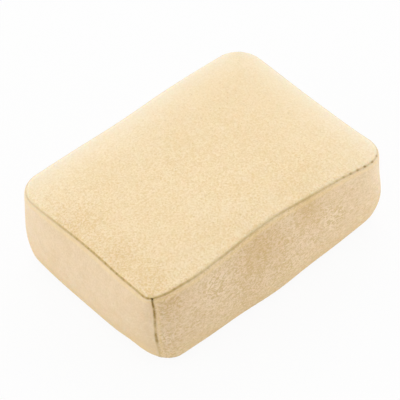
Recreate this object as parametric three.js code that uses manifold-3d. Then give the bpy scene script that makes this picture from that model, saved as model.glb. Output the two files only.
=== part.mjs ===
// Chamois leather cleaning pad: a foam block sewn into a cover of four pieces of chamois leather.
//
// Millimetres, Z up. The origin is the middle of the pad's underside, X runs along its length and
// Y across it. The cover has a top panel, a bottom panel and two side strips. Each strip wraps one
// long side and one short side, and the two strips join at two opposite corners, called near and
// far. Every seam is sewn inside out, so each edge folds inwards and ends in a hidden allowance.
//
// Every body is laid out on a straight-sided box first. The function plump then moves all of their
// points alike, which gives the crown, the swollen sides and the drawn-in seams.

import * as THREE from 'three';
import { mergeVertices } from 'three/addons/utils/BufferGeometryUtils.js';
import Module from 'manifold-3d';

const wasm = await Module();
wasm.setup();

// Overall size of the stuffed pad
const padLength = 130;
const padWidth = 92;
const padHeight = 41;

// How the stuffing fills the cover and the seams hold it in
const crownRise = 2.4;
const sideBulge = 1.6;
const longSeamDraw = 1.4;
const hemTuck = 2.4;
const hemHeight = 16;
const hemLift = 1.6;
const cornerFirmShare = 0.5;
const flatBaseShare = 0.74;

// Leather and its folded edges
const leatherThickness = 0.8;
const foldInnerRadius = 0.4;
const seamGap = 0.3;
const seamAllowance = 5;
const cornerAllowance = 4;
const cornerNotch = 2;

// Foam block
const foamClearance = 0.3;
const foamCornerRadius = 5;

// Sewing thread
const threadDiameter = 0.5;
const threadGap = 0.15;
const stitchInset = 0.9;
const closingLength = 60;
const closingPitch = 5;
const closingWidth = 2;

// How finely the bodies are divided
const cornerSteps = 6;
const longSideSteps = 8;
const shortSideSteps = 6;
const foldAngles = [135, 90, 45, 0];
const endFoldSteps = 3;
const ringShares = [0.9, 0.72, 0.42, 0];
const faceShares = [0.25, 0.5, 0.75];
const threadSides = 6;
const closingStepsPerStitch = 4;
const slotSlices = 8;
const slotLayers = 2;
const mergeDigits = 4;

// Colours from the photograph, with the hidden foam and thread in usual shades
const panelColour = 0xf3dbb2;
const stripColour = 0xe9cfa3;
const foamColour = 0xefe3bf;
const threadColour = 0xb8935c;

// Sizes that follow from the ones above
const rightAngle = 90;
const fullTurn = 360;
const bodyHeight = padHeight - crownRise;
const halfLength = padLength / 2 - sideBulge;
const halfWidth = padWidth / 2 - sideBulge;
const foldRadius = foldInnerRadius + leatherThickness;
const threadRadius = threadDiameter / 2;

// A seam plane leaves the box's edge inwards at 45 degrees. The two folds stand on either side of
// it, and depth is measured along it from the edge.
const foldOffset = foldRadius + seamGap / 2;
const foldSetback = foldRadius + Math.SQRT2 * foldOffset;
const foldDepth = (foldSetback + foldRadius) / Math.SQRT2;
const threadOffset = seamGap / 2 + leatherThickness + threadGap + threadRadius;
const threadDepth = foldDepth + stitchInset;
const slitOffset = threadOffset + threadRadius + foamClearance;
const slitDepth = foldDepth + seamAllowance + foamClearance;
const slitReach = (slitDepth + slitOffset) / Math.SQRT2;
const cornerRadius = slitReach + foamCornerRadius;

// Angle between a corner's middle and the place where a strip begins to fold in beside it
const endFoldAngle = THREE.MathUtils.radToDeg(Math.asin(foldOffset / (cornerRadius - foldRadius)));

// Moves a point of the straight-sided box to its place on the stuffed pad.
function plump(x, y, z) {
  const alongX = x / halfLength;
  const alongY = y / halfWidth;
  const up = z / bodyHeight;
  const nearTop = up ** 2;
  const nearBase = (1 - up) ** 2;
  const swell = 4 * up * (1 - up);
  const hem = Math.max(0, 1 - z / hemHeight) ** 2;
  const fullShort = 1 - cornerFirmShare * alongY ** 2;
  const fullLong = 1 - cornerFirmShare * alongX ** 2;
  const pushX = sideBulge * swell * fullShort - hemTuck * hem;
  const upperHalf = Math.max(0, 2 * up - 1) ** 2;
  const drawY = longSeamDraw * upperHalf * (1 - alongX ** 2) ** 2;
  const pushY = sideBulge * swell * fullLong - hemTuck * hem - drawY;
  const crown = crownRise * (1 - alongX ** 4) * (1 - alongY ** 4);
  const outward = (alongX ** 6 + alongY ** 6) ** (1 / 6);
  const lift = Math.max(0, (outward - flatBaseShare) / (1 - flatBaseShare)) ** 2;
  return new THREE.Vector3(
    x + pushX * alongX ** 3,
    y + pushY * alongY ** 3,
    z + crown * nearTop + hemLift * lift * nearBase,
  );
}

// Collects triangles over shared corners and leaves out the ones that have shrunk to a line.
class Body {
  constructor() {
    this.points = [];
    this.numbers = new Map();
    this.triangles = [];
  }

  corner(point) {
    const key = point.toArray().map((value) => value.toFixed(mergeDigits)).join(' ');
    if (!this.numbers.has(key)) {
      this.numbers.set(key, this.points.length);
      this.points.push(point);
    }
    return this.numbers.get(key);
  }

  triangle(a, b, c) {
    if (a !== b && b !== c && c !== a) {
      this.triangles.push([a, b, c]);
    }
  }

  quad(a, b, c, d) {
    this.triangle(a, b, c);
    this.triangle(a, c, d);
  }

  volume() {
    let total = 0;
    for (const [a, b, c] of this.triangles) {
      const across = new THREE.Vector3().crossVectors(this.points[b], this.points[c]);
      total += this.points[a].dot(across) / 6;
    }
    return total;
  }

  geometry() {
    const inwards = this.volume() < 0;
    const order = this.triangles.map(([a, b, c]) => (inwards ? [a, c, b] : [a, b, c]));
    const geometry = new THREE.BufferGeometry().setFromPoints(this.points);
    geometry.setIndex(order.flat());
    geometry.computeVertexNormals();
    return geometry;
  }
}

// A closed skin through rings of points. Each ring joins the next, and the last ring joins the
// first if looped, or else both ends are closed over their middle points.
function ringBody(rings, looped) {
  const body = new Body();
  const numbers = rings.map((ring) => ring.map((point) => body.corner(point)));
  const joins = looped ? numbers.length : numbers.length - 1;
  for (let i = 0; i < joins; i += 1) {
    const here = numbers[i];
    const next = numbers[(i + 1) % numbers.length];
    for (let j = 0; j < here.length; j += 1) {
      const k = (j + 1) % here.length;
      body.quad(here[j], here[k], next[k], next[j]);
    }
  }
  if (!looped) {
    closeEnd(body, rings[0], numbers[0], false);
    closeEnd(body, rings.at(-1), numbers.at(-1), true);
  }
  return body.geometry();
}

function closeEnd(body, ring, numbers, last) {
  const middle = new THREE.Vector3();
  ring.forEach((point) => middle.addScaledVector(point, 1 / ring.length));
  const hub = body.corner(middle);
  for (let j = 0; j < ring.length; j += 1) {
    const k = (j + 1) % ring.length;
    if (last) {
      body.triangle(hub, numbers[j], numbers[k]);
    } else {
      body.triangle(hub, numbers[k], numbers[j]);
    }
  }
}

// A sheet of leather: a right side and a wrong side over the same grid of columns and rows, with a
// rim along every free edge. keeps(column, row) says which cells of the grid are leather.
function leatherSheet(rightSide, wrongSide, looped, keeps) {
  const body = new Body();
  const right = rightSide.map((column) => column.map((point) => body.corner(point)));
  const wrong = wrongSide.map((column) => column.map((point) => body.corner(point)));
  const columns = looped ? right.length : right.length - 1;
  const rows = right[0].length - 1;
  const isLeather = (i, j) => {
    const column = looped ? (i + columns) % columns : i;
    const inGrid = column >= 0 && column < columns && j >= 0 && j < rows;
    return inGrid && keeps(column, j);
  };
  for (let i = 0; i < columns; i += 1) {
    const k = (i + 1) % right.length;
    for (let j = 0; j < rows; j += 1) {
      if (isLeather(i, j)) {
        const cell = [[i, j], [k, j], [k, j + 1], [i, j + 1]];
        const beyond = [[i, j - 1], [i + 1, j], [i, j + 1], [i - 1, j]];
        body.quad(...cell.map(([c, r]) => right[c][r]));
        body.quad(...cell.map(([c, r]) => wrong[c][r]).reverse());
        for (let side = 0; side < cell.length; side += 1) {
          if (!isLeather(...beyond[side])) {
            const [fromColumn, fromRow] = cell[side];
            const [toColumn, toRow] = cell[(side + 1) % cell.length];
            body.quad(
              right[toColumn][toRow],
              right[fromColumn][fromRow],
              wrong[fromColumn][fromRow],
              wrong[toColumn][toRow],
            );
          }
        }
      }
    }
  }
  return body.geometry();
}

function direction(degrees) {
  const angle = THREE.MathUtils.degToRad(degrees);
  return new THREE.Vector2(Math.cos(angle), Math.sin(angle));
}

// Corners are numbered anticlockwise from +X+Y, and a corner's outline turns from 90 degrees
// times its number to the next right angle.
const farCornerIndex = 0;
const nearCornerIndex = 2;
const cornerCount = 4;

function cornerCentre(corner) {
  const towards = direction(corner * rightAngle + rightAngle / 2);
  return new THREE.Vector2(
    Math.sign(towards.x) * (halfLength - cornerRadius),
    Math.sign(towards.y) * (halfWidth - cornerRadius),
  );
}

// A station is a place on the box's outline in plan, with the direction that faces outwards there.
function stationAt(corner, degrees) {
  const facing = direction(degrees);
  return { point: cornerCentre(corner).addScaledVector(facing, cornerRadius), facing };
}

function arcStations(corner, from, to, steps) {
  const stations = [];
  for (let i = 0; i <= steps; i += 1) {
    stations.push(stationAt(corner, from + ((to - from) * i) / steps));
  }
  return stations;
}

// The stations between two corners, without the corners' own
function sideStations(corner) {
  const steps = corner % 2 === 0 ? longSideSteps : shortSideSteps;
  const degrees = (corner + 1) * rightAngle;
  const start = stationAt(corner, degrees).point;
  const end = stationAt((corner + 1) % cornerCount, degrees).point;
  const stations = [];
  for (let i = 1; i < steps; i += 1) {
    stations.push({ point: start.clone().lerp(end, i / steps), facing: direction(degrees) });
  }
  return stations;
}

function cornerStations(corner) {
  return arcStations(corner, corner * rightAngle, (corner + 1) * rightAngle, cornerSteps);
}

function loopStations() {
  const stations = [];
  for (let corner = 0; corner < cornerCount; corner += 1) {
    stations.push(...cornerStations(corner), ...sideStations(corner));
  }
  return stations;
}

// Heights are written as a drop from the nearer of the two faces, so that the top seam and the
// bottom seam share one section.
function heightOf(drop, atTop) {
  return atTop ? bodyHeight - drop : drop;
}

// A point of a section: out is measured outwards from the outline, and share draws it to the middle.
function sectionPoint(station, out, height, share = 1) {
  const place = station.point.clone().addScaledVector(station.facing, out).multiplyScalar(share);
  return plump(place.x, place.y, height);
}

// The place on a seam's section at a depth along the seam plane and an offset from it, to the
// panel's side when positive and to the strip's side when negative.
function seamPlace(depth, offset) {
  return { out: -(depth + offset) / Math.SQRT2, drop: (depth - offset) / Math.SQRT2 };
}

const allowanceStep = seamAllowance / Math.SQRT2;

// Panel rows run from the raw edge of the allowance, round the fold and to the middle of the panel.
function panelRows(radius) {
  const folded = foldAngles.map((degrees) => {
    const turn = direction(degrees);
    return { out: radius * turn.y - foldSetback, drop: foldRadius - radius * turn.x, share: 1 };
  });
  const rawEdge = {
    out: folded[0].out - allowanceStep,
    drop: folded[0].drop + allowanceStep,
    share: 1,
  };
  const rings = ringShares.map((share) => ({ ...folded.at(-1), share }));
  return [rawEdge, ...folded, ...rings];
}

function panelSide(stations, radius, atTop) {
  const rows = panelRows(radius);
  return stations.map((station) => rows.map((row) => (
    sectionPoint(station, row.out, heightOf(row.drop, atTop), row.share)
  )));
}

function panel(atTop) {
  const stations = loopStations();
  const rightSide = panelSide(stations, foldRadius, atTop);
  const wrongSide = panelSide(stations, foldInnerRadius, atTop);
  return leatherSheet(rightSide, wrongSide, true, () => true);
}

// Heights of the rows on a strip's face, from its top fold to its bottom fold. The second and the
// last but one are where the allowances of the upright corner seams begin and end.
function faceHeights() {
  const top = bodyHeight - foldSetback;
  const base = foldSetback;
  const notchedTop = top - cornerNotch;
  const notchedBase = base + cornerNotch;
  const between = faceShares.map((share) => THREE.MathUtils.lerp(notchedTop, notchedBase, share));
  return [top, notchedTop, ...between, notchedBase, base];
}

// Strip rows run from the top raw edge down the face to the bottom raw edge. reach is measured
// outwards from the centre of the folds.
function stripRows(radius) {
  const folded = foldAngles.map((degrees) => {
    const turn = direction(degrees);
    return { reach: radius * turn.x, drop: foldSetback - radius * turn.y };
  });
  const rawEdge = {
    reach: folded[0].reach - allowanceStep,
    drop: folded[0].drop + allowanceStep,
  };
  const edge = [rawEdge, ...folded.slice(0, -1)];
  const upper = edge.map((row) => ({ reach: row.reach, height: heightOf(row.drop, true) }));
  const lower = edge.map((row) => ({ reach: row.reach, height: heightOf(row.drop, false) }));
  const face = faceHeights().map((height) => ({ reach: radius, height }));
  return [...upper, ...face, ...lower.reverse()];
}

// Rows, counted along the strip, that reach the upright corner seams
const firstCrestRow = foldAngles.indexOf(rightAngle) + 1;
const firstFaceRow = foldAngles.length;
const faceRowCount = faceShares.length + 4;
const lastCrestRow = firstFaceRow + faceRowCount + foldAngles.length - 1 - firstCrestRow;

// The columns that fold a strip's end inwards beside a corner seam, from the raw edge outwards.
// side is 1 where the strip leaves the corner anticlockwise and -1 where it arrives.
function endColumns(corner, side) {
  const middle = corner * rightAngle + rightAngle / 2;
  const inwards = direction(middle).multiplyScalar(-1);
  const centre = cornerCentre(corner).addScaledVector(
    direction(middle + side * endFoldAngle),
    cornerRadius - foldRadius,
  );
  const columns = [];
  for (let i = 0; i < endFoldSteps; i += 1) {
    const turn = THREE.MathUtils.lerp(rightAngle, -endFoldAngle, i / endFoldSteps);
    columns.push({ centre, facing: direction(middle - side * turn), isTail: false, isEnd: true });
  }
  const tailCentre = centre.clone().addScaledVector(inwards, cornerAllowance);
  const tail = { centre: tailCentre, facing: columns[0].facing, isTail: true, isEnd: true };
  return [tail, ...columns];
}

// The columns of a strip that leaves one corner, passes the next and ends at the one after it
function stripColumns(corner) {
  const half = rightAngle / 2;
  const startAngle = corner * rightAngle + half;
  const nextCorner = (corner + 1) % cornerCount;
  const lastCorner = (corner + 2) % cornerCount;
  const lastAngle = lastCorner * rightAngle + half;
  const halfSteps = cornerSteps / 2;
  const stations = [
    ...arcStations(corner, startAngle + endFoldAngle, startAngle + half, halfSteps),
    ...sideStations(corner),
    ...cornerStations(nextCorner),
    ...sideStations(nextCorner),
    ...arcStations(lastCorner, lastAngle - half, lastAngle - endFoldAngle, halfSteps),
  ];
  const along = stations.map(({ point, facing }) => ({
    centre: point.clone().addScaledVector(facing, -foldRadius),
    facing,
    isTail: false,
    isEnd: false,
  }));
  return [...endColumns(corner, 1), ...along, ...endColumns(lastCorner, -1).reverse()];
}

// The allowance of a corner seam is mitred at its top and its bottom, to clear the other seams.
function tailHeight(height) {
  const middle = bodyHeight / 2;
  const halfFace = middle - foldSetback - cornerNotch;
  return middle + ((height - middle) * (halfFace - cornerAllowance)) / halfFace;
}

function stripSide(columns, radius) {
  const rows = stripRows(radius);
  return columns.map((column) => rows.map((row) => {
    const place = column.centre.clone().addScaledVector(column.facing, row.reach);
    const height = column.isTail ? tailHeight(row.height) : row.height;
    return plump(place.x, place.y, height);
  }));
}

function strip(corner) {
  const columns = stripColumns(corner);
  const keeps = (i, j) => {
    const pair = [columns[i], columns[i + 1]];
    if (pair.some((column) => column.isTail)) {
      return j > firstFaceRow && j < firstFaceRow + faceRowCount - 2;
    }
    if (pair.some((column) => column.isEnd)) {
      return j >= firstCrestRow && j < lastCrestRow;
    }
    return true;
  };
  const rightSide = stripSide(columns, foldRadius);
  const wrongSide = stripSide(columns, foldInnerRadius);
  return leatherSheet(rightSide, wrongSide, false, keeps);
}

// The foam block is slit all round its top and bottom edges, where the allowances lie.
function foamRows(atTop) {
  const faceDrop = leatherThickness + foamClearance;
  const noseDrop = foldSetback + 2 * foamClearance;
  const upperRoot = seamPlace(slitDepth, slitOffset);
  const lowerRoot = seamPlace(slitDepth, -slitOffset);
  const rows = [
    ...ringShares.map((share) => ({ out: -foldSetback, drop: faceDrop, share })).reverse(),
    { out: -noseDrop, drop: faceDrop, share: 1 },
    { ...upperRoot, share: 1 },
    { ...lowerRoot, share: 1 },
    { out: -faceDrop, drop: noseDrop, share: 1 },
  ];
  return rows.map(({ out, drop, share }) => ({ out, height: heightOf(drop, atTop), share }));
}

// A slot in the foam for the allowances of an upright corner seam
function cornerSlot(corner) {
  const middle = corner * rightAngle + rightAngle / 2;
  const depth = foldRadius + cornerAllowance + foamClearance;
  const height = bodyHeight - 2 * foldSetback;
  const slot = new THREE.BoxGeometry(2 * depth, 2 * slitOffset, height, slotLayers, 1, slotSlices);
  const centre = cornerCentre(corner).addScaledVector(direction(middle), cornerRadius);
  slot.rotateZ(THREE.MathUtils.degToRad(middle));
  slot.translate(centre.x, centre.y, bodyHeight / 2);
  return plumpGeometry(slot);
}

function plumpGeometry(geometry) {
  const positions = geometry.getAttribute('position');
  for (let i = 0; i < positions.count; i += 1) {
    const moved = plump(positions.getX(i), positions.getY(i), positions.getZ(i));
    positions.setXYZ(i, moved.x, moved.y, moved.z);
  }
  return geometry;
}

function toSolid(geometry) {
  const bare = geometry.clone();
  bare.deleteAttribute('normal');
  bare.deleteAttribute('uv');
  const merged = mergeVertices(bare);
  const vertProperties = new Float32Array(merged.getAttribute('position').array);
  const triVerts = new Uint32Array(merged.getIndex().array);
  return new wasm.Manifold(new wasm.Mesh({ numProp: 3, vertProperties, triVerts }));
}

function toGeometry(solid) {
  const mesh = solid.getMesh();
  const geometry = new THREE.BufferGeometry();
  geometry.setAttribute('position', new THREE.BufferAttribute(mesh.vertProperties, mesh.numProp));
  geometry.setIndex(new THREE.BufferAttribute(mesh.triVerts, 1));
  geometry.computeVertexNormals();
  return geometry;
}

function foamBlock() {
  const faceOut = -(leatherThickness + foamClearance);
  const face = faceHeights().slice(2, -2).map((height) => ({ out: faceOut, height, share: 1 }));
  const rows = [...foamRows(true), ...face, ...foamRows(false).reverse()];
  const stations = loopStations();
  const rings = rows.slice(1, -1).map((row) => stations.map((station) => (
    sectionPoint(station, row.out, row.height, row.share)
  )));
  const block = toSolid(ringBody(rings, false));
  return toGeometry([nearCornerIndex, farCornerIndex].reduce(
    (solid, corner) => solid.subtract(toSolid(cornerSlot(corner))),
    block,
  ));
}

// A ring of points round a thread. place puts each one where its two distances from the thread's
// middle line say.
function threadRing(place) {
  const ring = [];
  for (let i = 0; i < threadSides; i += 1) {
    const turn = direction((i * fullTurn) / threadSides).multiplyScalar(threadRadius);
    ring.push(place(turn.x, turn.y));
  }
  return ring;
}

// A machine thread that runs along a seam, on the panel's allowance or on the strip's
function seamThread(stations, atTop, onPanel, looped) {
  const { out, drop } = seamPlace(threadDepth, onPanel ? threadOffset : -threadOffset);
  const rings = stations.map((station) => threadRing((side, rise) => (
    sectionPoint(station, out + side, heightOf(drop, atTop) + rise)
  )));
  return ringBody(rings, looped);
}

// A machine thread down a corner seam, on the allowance of one strip or of the other
function cornerThread(corner, side) {
  const middle = corner * rightAngle + rightAngle / 2;
  const centre = cornerCentre(corner)
    .addScaledVector(direction(middle), cornerRadius - foldRadius - stitchInset)
    .addScaledVector(direction(middle + rightAngle), side * threadOffset);
  const end = foldSetback + cornerNotch + stitchInset + threadDiameter;
  const heights = [0, ...faceShares, 1].map((share) => (
    THREE.MathUtils.lerp(bodyHeight - end, end, share)
  ));
  const rings = heights.map((height) => threadRing((dx, dy) => (
    plump(centre.x + dx, centre.y + dy, height)
  )));
  return ringBody(rings, false);
}

// The bottom seam is machine sewn all round but for an opening in the middle of one long side,
// through which the foam goes in.
function openSeamStations() {
  const facing = direction(rightAngle);
  const edge = (x) => ({ point: new THREE.Vector2(x, halfWidth), facing });
  return [
    edge(-closingLength / 2),
    ...cornerStations(1),
    ...sideStations(1),
    ...cornerStations(2),
    ...sideStations(2),
    ...cornerStations(3),
    ...sideStations(3),
    ...cornerStations(0),
    edge(closingLength / 2),
  ];
}

// The opening is closed by hand: a thread that whips from one fold to the other and lies against
// both of them.
function closingThread() {
  const facing = direction(rightAngle);
  const contact = foldRadius + threadGap + threadRadius;
  const steps = closingStepsPerStitch * Math.round(closingLength / closingPitch);
  const rings = [];
  for (let i = 0; i <= steps; i += 1) {
    const swing = direction((i * fullTurn) / closingStepsPerStitch).x;
    const offset = (swing * closingWidth) / 2;
    const aside = foldOffset - Math.abs(offset);
    const depth = foldDepth - Math.sqrt(contact ** 2 - aside ** 2);
    const { out, drop } = seamPlace(depth, offset);
    const x = closingLength * (i / steps - 1 / 2);
    const station = { point: new THREE.Vector2(x, halfWidth), facing };
    rings.push(threadRing((side, rise) => (
      sectionPoint(station, out + side, heightOf(drop, false) + rise)
    )));
  }
  return ringBody(rings, false);
}

function leather(color) {
  return new THREE.MeshStandardMaterial({ color, roughness: 0.95, metalness: 0 });
}

function foam() {
  return new THREE.MeshStandardMaterial({ color: foamColour, roughness: 1, metalness: 0 });
}

function thread() {
  return new THREE.MeshStandardMaterial({ color: threadColour, roughness: 0.8, metalness: 0 });
}

const pad = new THREE.Group();

function add(name, geometry, material) {
  const mesh = new THREE.Mesh(geometry, material);
  mesh.name = name;
  pad.add(mesh);
}

add('foam_core', foamBlock(), foam());
add('top_panel', panel(true), leather(panelColour));
add('bottom_panel', panel(false), leather(panelColour));
add('front_side_strip', strip(nearCornerIndex), leather(stripColour));
add('back_side_strip', strip(farCornerIndex), leather(stripColour));
add('top_seam_needle_thread', seamThread(loopStations(), true, true, true), thread());
add('top_seam_bobbin_thread', seamThread(loopStations(), true, false, true), thread());
add('bottom_seam_needle_thread', seamThread(openSeamStations(), false, true, false), thread());
add('bottom_seam_bobbin_thread', seamThread(openSeamStations(), false, false, false), thread());
add('near_corner_needle_thread', cornerThread(nearCornerIndex, 1), thread());
add('near_corner_bobbin_thread', cornerThread(nearCornerIndex, -1), thread());
add('far_corner_needle_thread', cornerThread(farCornerIndex, 1), thread());
add('far_corner_bobbin_thread', cornerThread(farCornerIndex, -1), thread());
add('closing_thread', closingThread(), thread());

export default pad;
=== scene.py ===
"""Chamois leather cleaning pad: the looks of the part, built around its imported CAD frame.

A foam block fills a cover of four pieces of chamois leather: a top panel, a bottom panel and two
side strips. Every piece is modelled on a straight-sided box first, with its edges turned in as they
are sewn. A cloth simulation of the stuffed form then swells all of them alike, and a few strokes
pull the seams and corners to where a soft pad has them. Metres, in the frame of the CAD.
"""

import logging
import math
from collections.abc import Callable, Sequence
from dataclasses import dataclass, field
from enum import Enum

import bmesh
import bpy
import numpy as np
from mathutils import Matrix, Vector


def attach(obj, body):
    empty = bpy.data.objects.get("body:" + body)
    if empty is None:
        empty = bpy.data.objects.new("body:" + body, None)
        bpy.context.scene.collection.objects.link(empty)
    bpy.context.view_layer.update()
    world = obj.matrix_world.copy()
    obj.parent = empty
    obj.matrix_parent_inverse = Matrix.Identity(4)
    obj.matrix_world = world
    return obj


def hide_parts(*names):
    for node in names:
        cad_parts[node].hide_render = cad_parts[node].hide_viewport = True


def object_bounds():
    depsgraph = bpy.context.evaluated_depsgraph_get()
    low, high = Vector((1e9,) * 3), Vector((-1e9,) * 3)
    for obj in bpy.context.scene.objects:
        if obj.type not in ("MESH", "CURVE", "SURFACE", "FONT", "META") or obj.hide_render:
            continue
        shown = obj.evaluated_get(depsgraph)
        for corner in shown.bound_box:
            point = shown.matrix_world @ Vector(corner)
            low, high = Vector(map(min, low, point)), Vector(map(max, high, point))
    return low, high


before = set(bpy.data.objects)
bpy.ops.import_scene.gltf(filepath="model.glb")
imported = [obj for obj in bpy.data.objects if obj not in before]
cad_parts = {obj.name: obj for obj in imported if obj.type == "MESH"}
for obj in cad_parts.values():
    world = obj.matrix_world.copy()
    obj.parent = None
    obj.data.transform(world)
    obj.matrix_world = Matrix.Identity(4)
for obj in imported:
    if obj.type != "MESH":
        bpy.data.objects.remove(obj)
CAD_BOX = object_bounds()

MM = 0.001
TINY = 0.01 * MM
NO_LENGTH = 1e-12
RIGHT_ANGLE = math.pi / 2
HALF_DIAGONAL = math.sqrt(0.5)

log = logging.getLogger("chamois pad")


# Sizes


class Edge(Enum):
    """The two sewn edges that run all round the pad."""

    TOP = 1
    BASE = -1


class Corner(Enum):
    """The two upright corners where the side strips are sewn together."""

    FAR = 1
    NEAR = -1


class Sewn(Enum):
    """Which piece of leather lies on a side of the seam plane."""

    PANEL = -1
    STRIP = 1


@dataclass(frozen=True)
class PadBox:
    """The straight-sided box on which the pieces are laid out, with round upright corners."""

    # The swelling and the strokes bring these to within 2 mm of the size of the CAD's box.
    half_length: float = 63.4 * MM
    half_width: float = 44.4 * MM
    height: float = 38.6 * MM
    corner_radius: float = 12.246 * MM
    # The seam's length is taken this far inside the side. Steps are faces on a side or a corner.
    seam_depth: float = 1.6 * MM
    long_steps: int = 32
    short_steps: int = 20
    corner_steps: int = 8

    @property
    def corner_x(self) -> float:
        """Distance of a corner's middle from the pad's middle, along the length."""
        return self.half_length - self.corner_radius

    @property
    def corner_y(self) -> float:
        """Distance of a corner's middle from the pad's middle, across the width."""
        return self.half_width - self.corner_radius

    def outward(self, points: np.ndarray) -> np.ndarray:
        """How far points stand outside the box's side, below zero inside it.

        Args:
            points: rows of x, y, z.

        Returns:
            One distance a point.
        """
        beyond = np.abs(points[:, :2]) - [self.corner_x, self.corner_y]
        at_corner = np.hypot(beyond[:, 0], beyond[:, 1])
        in_corner = (beyond > 0).all(axis=1)
        return np.where(in_corner, at_corner, beyond.max(axis=1)) - self.corner_radius

    def facing(self, points: np.ndarray) -> np.ndarray:
        """Level direction straight out of the side that each point is nearest to.

        Args:
            points: rows of x, y, z.

        Returns:
            Rows of x, y, z, each a unit vector.
        """
        beyond = np.abs(points[:, :2]) - [self.corner_x, self.corner_y]
        rounded = np.clip(beyond, 0, None)
        flat = np.where(beyond[:, :1] > beyond[:, 1:], [1.0, 0.0], [0.0, 1.0])
        in_corner = (beyond > 0).all(axis=1)[:, None]
        away = np.where(in_corner, rounded, flat) * np.where(points[:, :2] < 0, -1, 1)
        away /= np.maximum(np.linalg.norm(away, axis=1, keepdims=True), NO_LENGTH)
        return np.column_stack([away, np.zeros(len(points))])

    def from_corner(self, points: np.ndarray, corner: Corner) -> tuple[np.ndarray, np.ndarray]:
        """How far points lie beyond a corner's middle, along the length and across the width.

        Args:
            points: rows of x, y, z.
            corner: one of the two sewn corners.

        Returns:
            Both distances, above zero towards the corner.
        """
        way = corner.value
        return points[:, 0] * way - self.corner_x, points[:, 1] * way - self.corner_y

    @property
    def seam_arc(self) -> float:
        """Length of the seam round one corner."""
        return (self.corner_radius - self.seam_depth) * RIGHT_ANGLE

    @property
    def seam_length(self) -> float:
        """Length of the seam once round the pad."""
        return 4 * (self.corner_x + self.corner_y + self.seam_arc)

    def station(self, points: np.ndarray) -> np.ndarray:
        """How far along the seam each point is, from the start of the front long side.

        Args:
            points: rows of x, y, z.

        Returns:
            One length a point, from 0 to the seam's length.
        """
        x, y = points[:, 0], points[:, 1]
        arc = self.seam_arc
        long_side, short_side = 2 * self.corner_x, 2 * self.corner_y
        half_turn = long_side + short_side + 2 * arc
        second = (x < 0) & (y > -self.corner_y) | (y > self.corner_y) & (x < self.corner_x)
        x, y = np.where(second, -x, x), np.where(second, -y, y)
        turned = np.arctan2(y + self.corner_y, x - self.corner_x)
        last = np.arctan2(y - self.corner_y, x - self.corner_x)
        along = np.select(
            [
                (x <= self.corner_x) & (y <= 0),
                y <= -self.corner_y,
                y <= self.corner_y,
            ],
            [
                x + self.corner_x,
                long_side + (turned / RIGHT_ANGLE + 1) * arc,
                long_side + arc + y + self.corner_y,
            ],
            long_side + arc + short_side + last / RIGHT_ANGLE * arc,
        )
        behind = (x < -self.corner_x) & (y <= -self.corner_y)
        turn_back = np.arctan2(-(x + self.corner_x), -(y + self.corner_y))
        along = np.where(behind, -turn_back / RIGHT_ANGLE * arc, along)
        return np.where(second, along + half_turn, along) % (2 * half_turn)

    def edge_place(self, points: np.ndarray, edge: Edge) -> tuple[np.ndarray, np.ndarray]:
        """Where points lie by the seam plane, which leaves the edge inwards at 45 degrees.

        Args:
            points: rows of x, y, z.
            edge: the edge that the plane starts from.

        Returns:
            The depth along the plane, and the distance from it, above zero on the strip's side.
        """
        out = self.outward(points)
        rise = points[:, 2] - self.height if edge is Edge.TOP else -points[:, 2]
        return -(out + rise) * HALF_DIAGONAL, (out - rise) * HALF_DIAGONAL


@dataclass(frozen=True)
class TurnedSeam:
    """How the leather turns in at a seam that was sewn inside out."""

    # The leather's thickness, the outside of its fold, and how far two folds press together.
    leather: float = 0.7 * MM
    fold_radius: float = 0.85 * MM
    squeeze: float = 0.22 * MM
    # What lies beyond the stitches, and the steps in which the fold and that tail are drawn.
    allowance: float = 5 * MM
    corner_allowance: float = 4 * MM
    fold_angles: tuple[int, ...] = (0, 45, 90, 135)
    tail_steps: int = 2
    corner_fold_steps: int = 3

    @property
    def offset(self) -> float:
        """Distance of a fold's middle from the seam plane."""
        return self.fold_radius - self.squeeze / 2

    @property
    def setback(self) -> float:
        """How far from the box's edge the leather begins to turn in."""
        return self.fold_radius + self.offset / HALF_DIAGONAL

    @property
    def depth(self) -> float:
        """Depth along the seam plane at which the two folds meet."""
        return (self.setback + self.fold_radius) * HALF_DIAGONAL

    @property
    def past_edge(self) -> float:
        """How much further than the box's edge the leather reaches when it is laid flat."""
        fold = self.fold_radius * math.radians(self.fold_angles[-1])
        return fold + self.allowance - self.setback

    def turned_edge(self, piece: Sewn) -> list[tuple[float, float]]:
        """Section of the fold and its allowance, from the face inwards.

        Args:
            piece: the panel or the strip.

        Returns:
            Pairs of outward distance and rise, from the top edge of the box.
        """
        points = []
        for angle in self.fold_angles:
            turn = math.radians(angle)
            across = -self.fold_radius + self.fold_radius * math.cos(turn)
            along = -self.setback + self.fold_radius * math.sin(turn)
            points.append((across, along))
        step = self.allowance * HALF_DIAGONAL / self.tail_steps
        for _ in range(self.tail_steps):
            points.append((points[-1][0] - step, points[-1][1] - step))
        if piece is Sewn.PANEL:
            return [(along, across) for across, along in points]
        return points


BOX = PadBox()
SEAM = TurnedSeam()


# Work at the bench


def gentle(low: float, high: float, value: np.ndarray) -> np.ndarray:
    """Rises smoothly from 0 at low to 1 at high."""
    share = np.clip((value - low) / (high - low), 0, 1)
    return share * share * (3 - 2 * share)


def peak(distance: np.ndarray, width: float) -> np.ndarray:
    """1 at no distance, falling smoothly to nothing about two widths away."""
    return np.exp(-((distance / width) ** 2))


def rows_of(data: bpy.types.bpy_prop_collection, slot: str) -> np.ndarray:
    """Reads three numbers from each item of a mesh's data.

    Args:
        data: the mesh's vertices, or the items of one of its attributes.
        slot: name of the vector in each item.

    Returns:
        One row of x, y, z an item.
    """
    flat = np.empty(len(data) * 3)
    data.foreach_get(slot, flat)
    return flat.reshape(-1, 3)


def places(piece: bpy.types.Object) -> np.ndarray:
    """Rows of x, y, z of a piece's vertices."""
    return rows_of(piece.data.vertices, "co")


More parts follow.
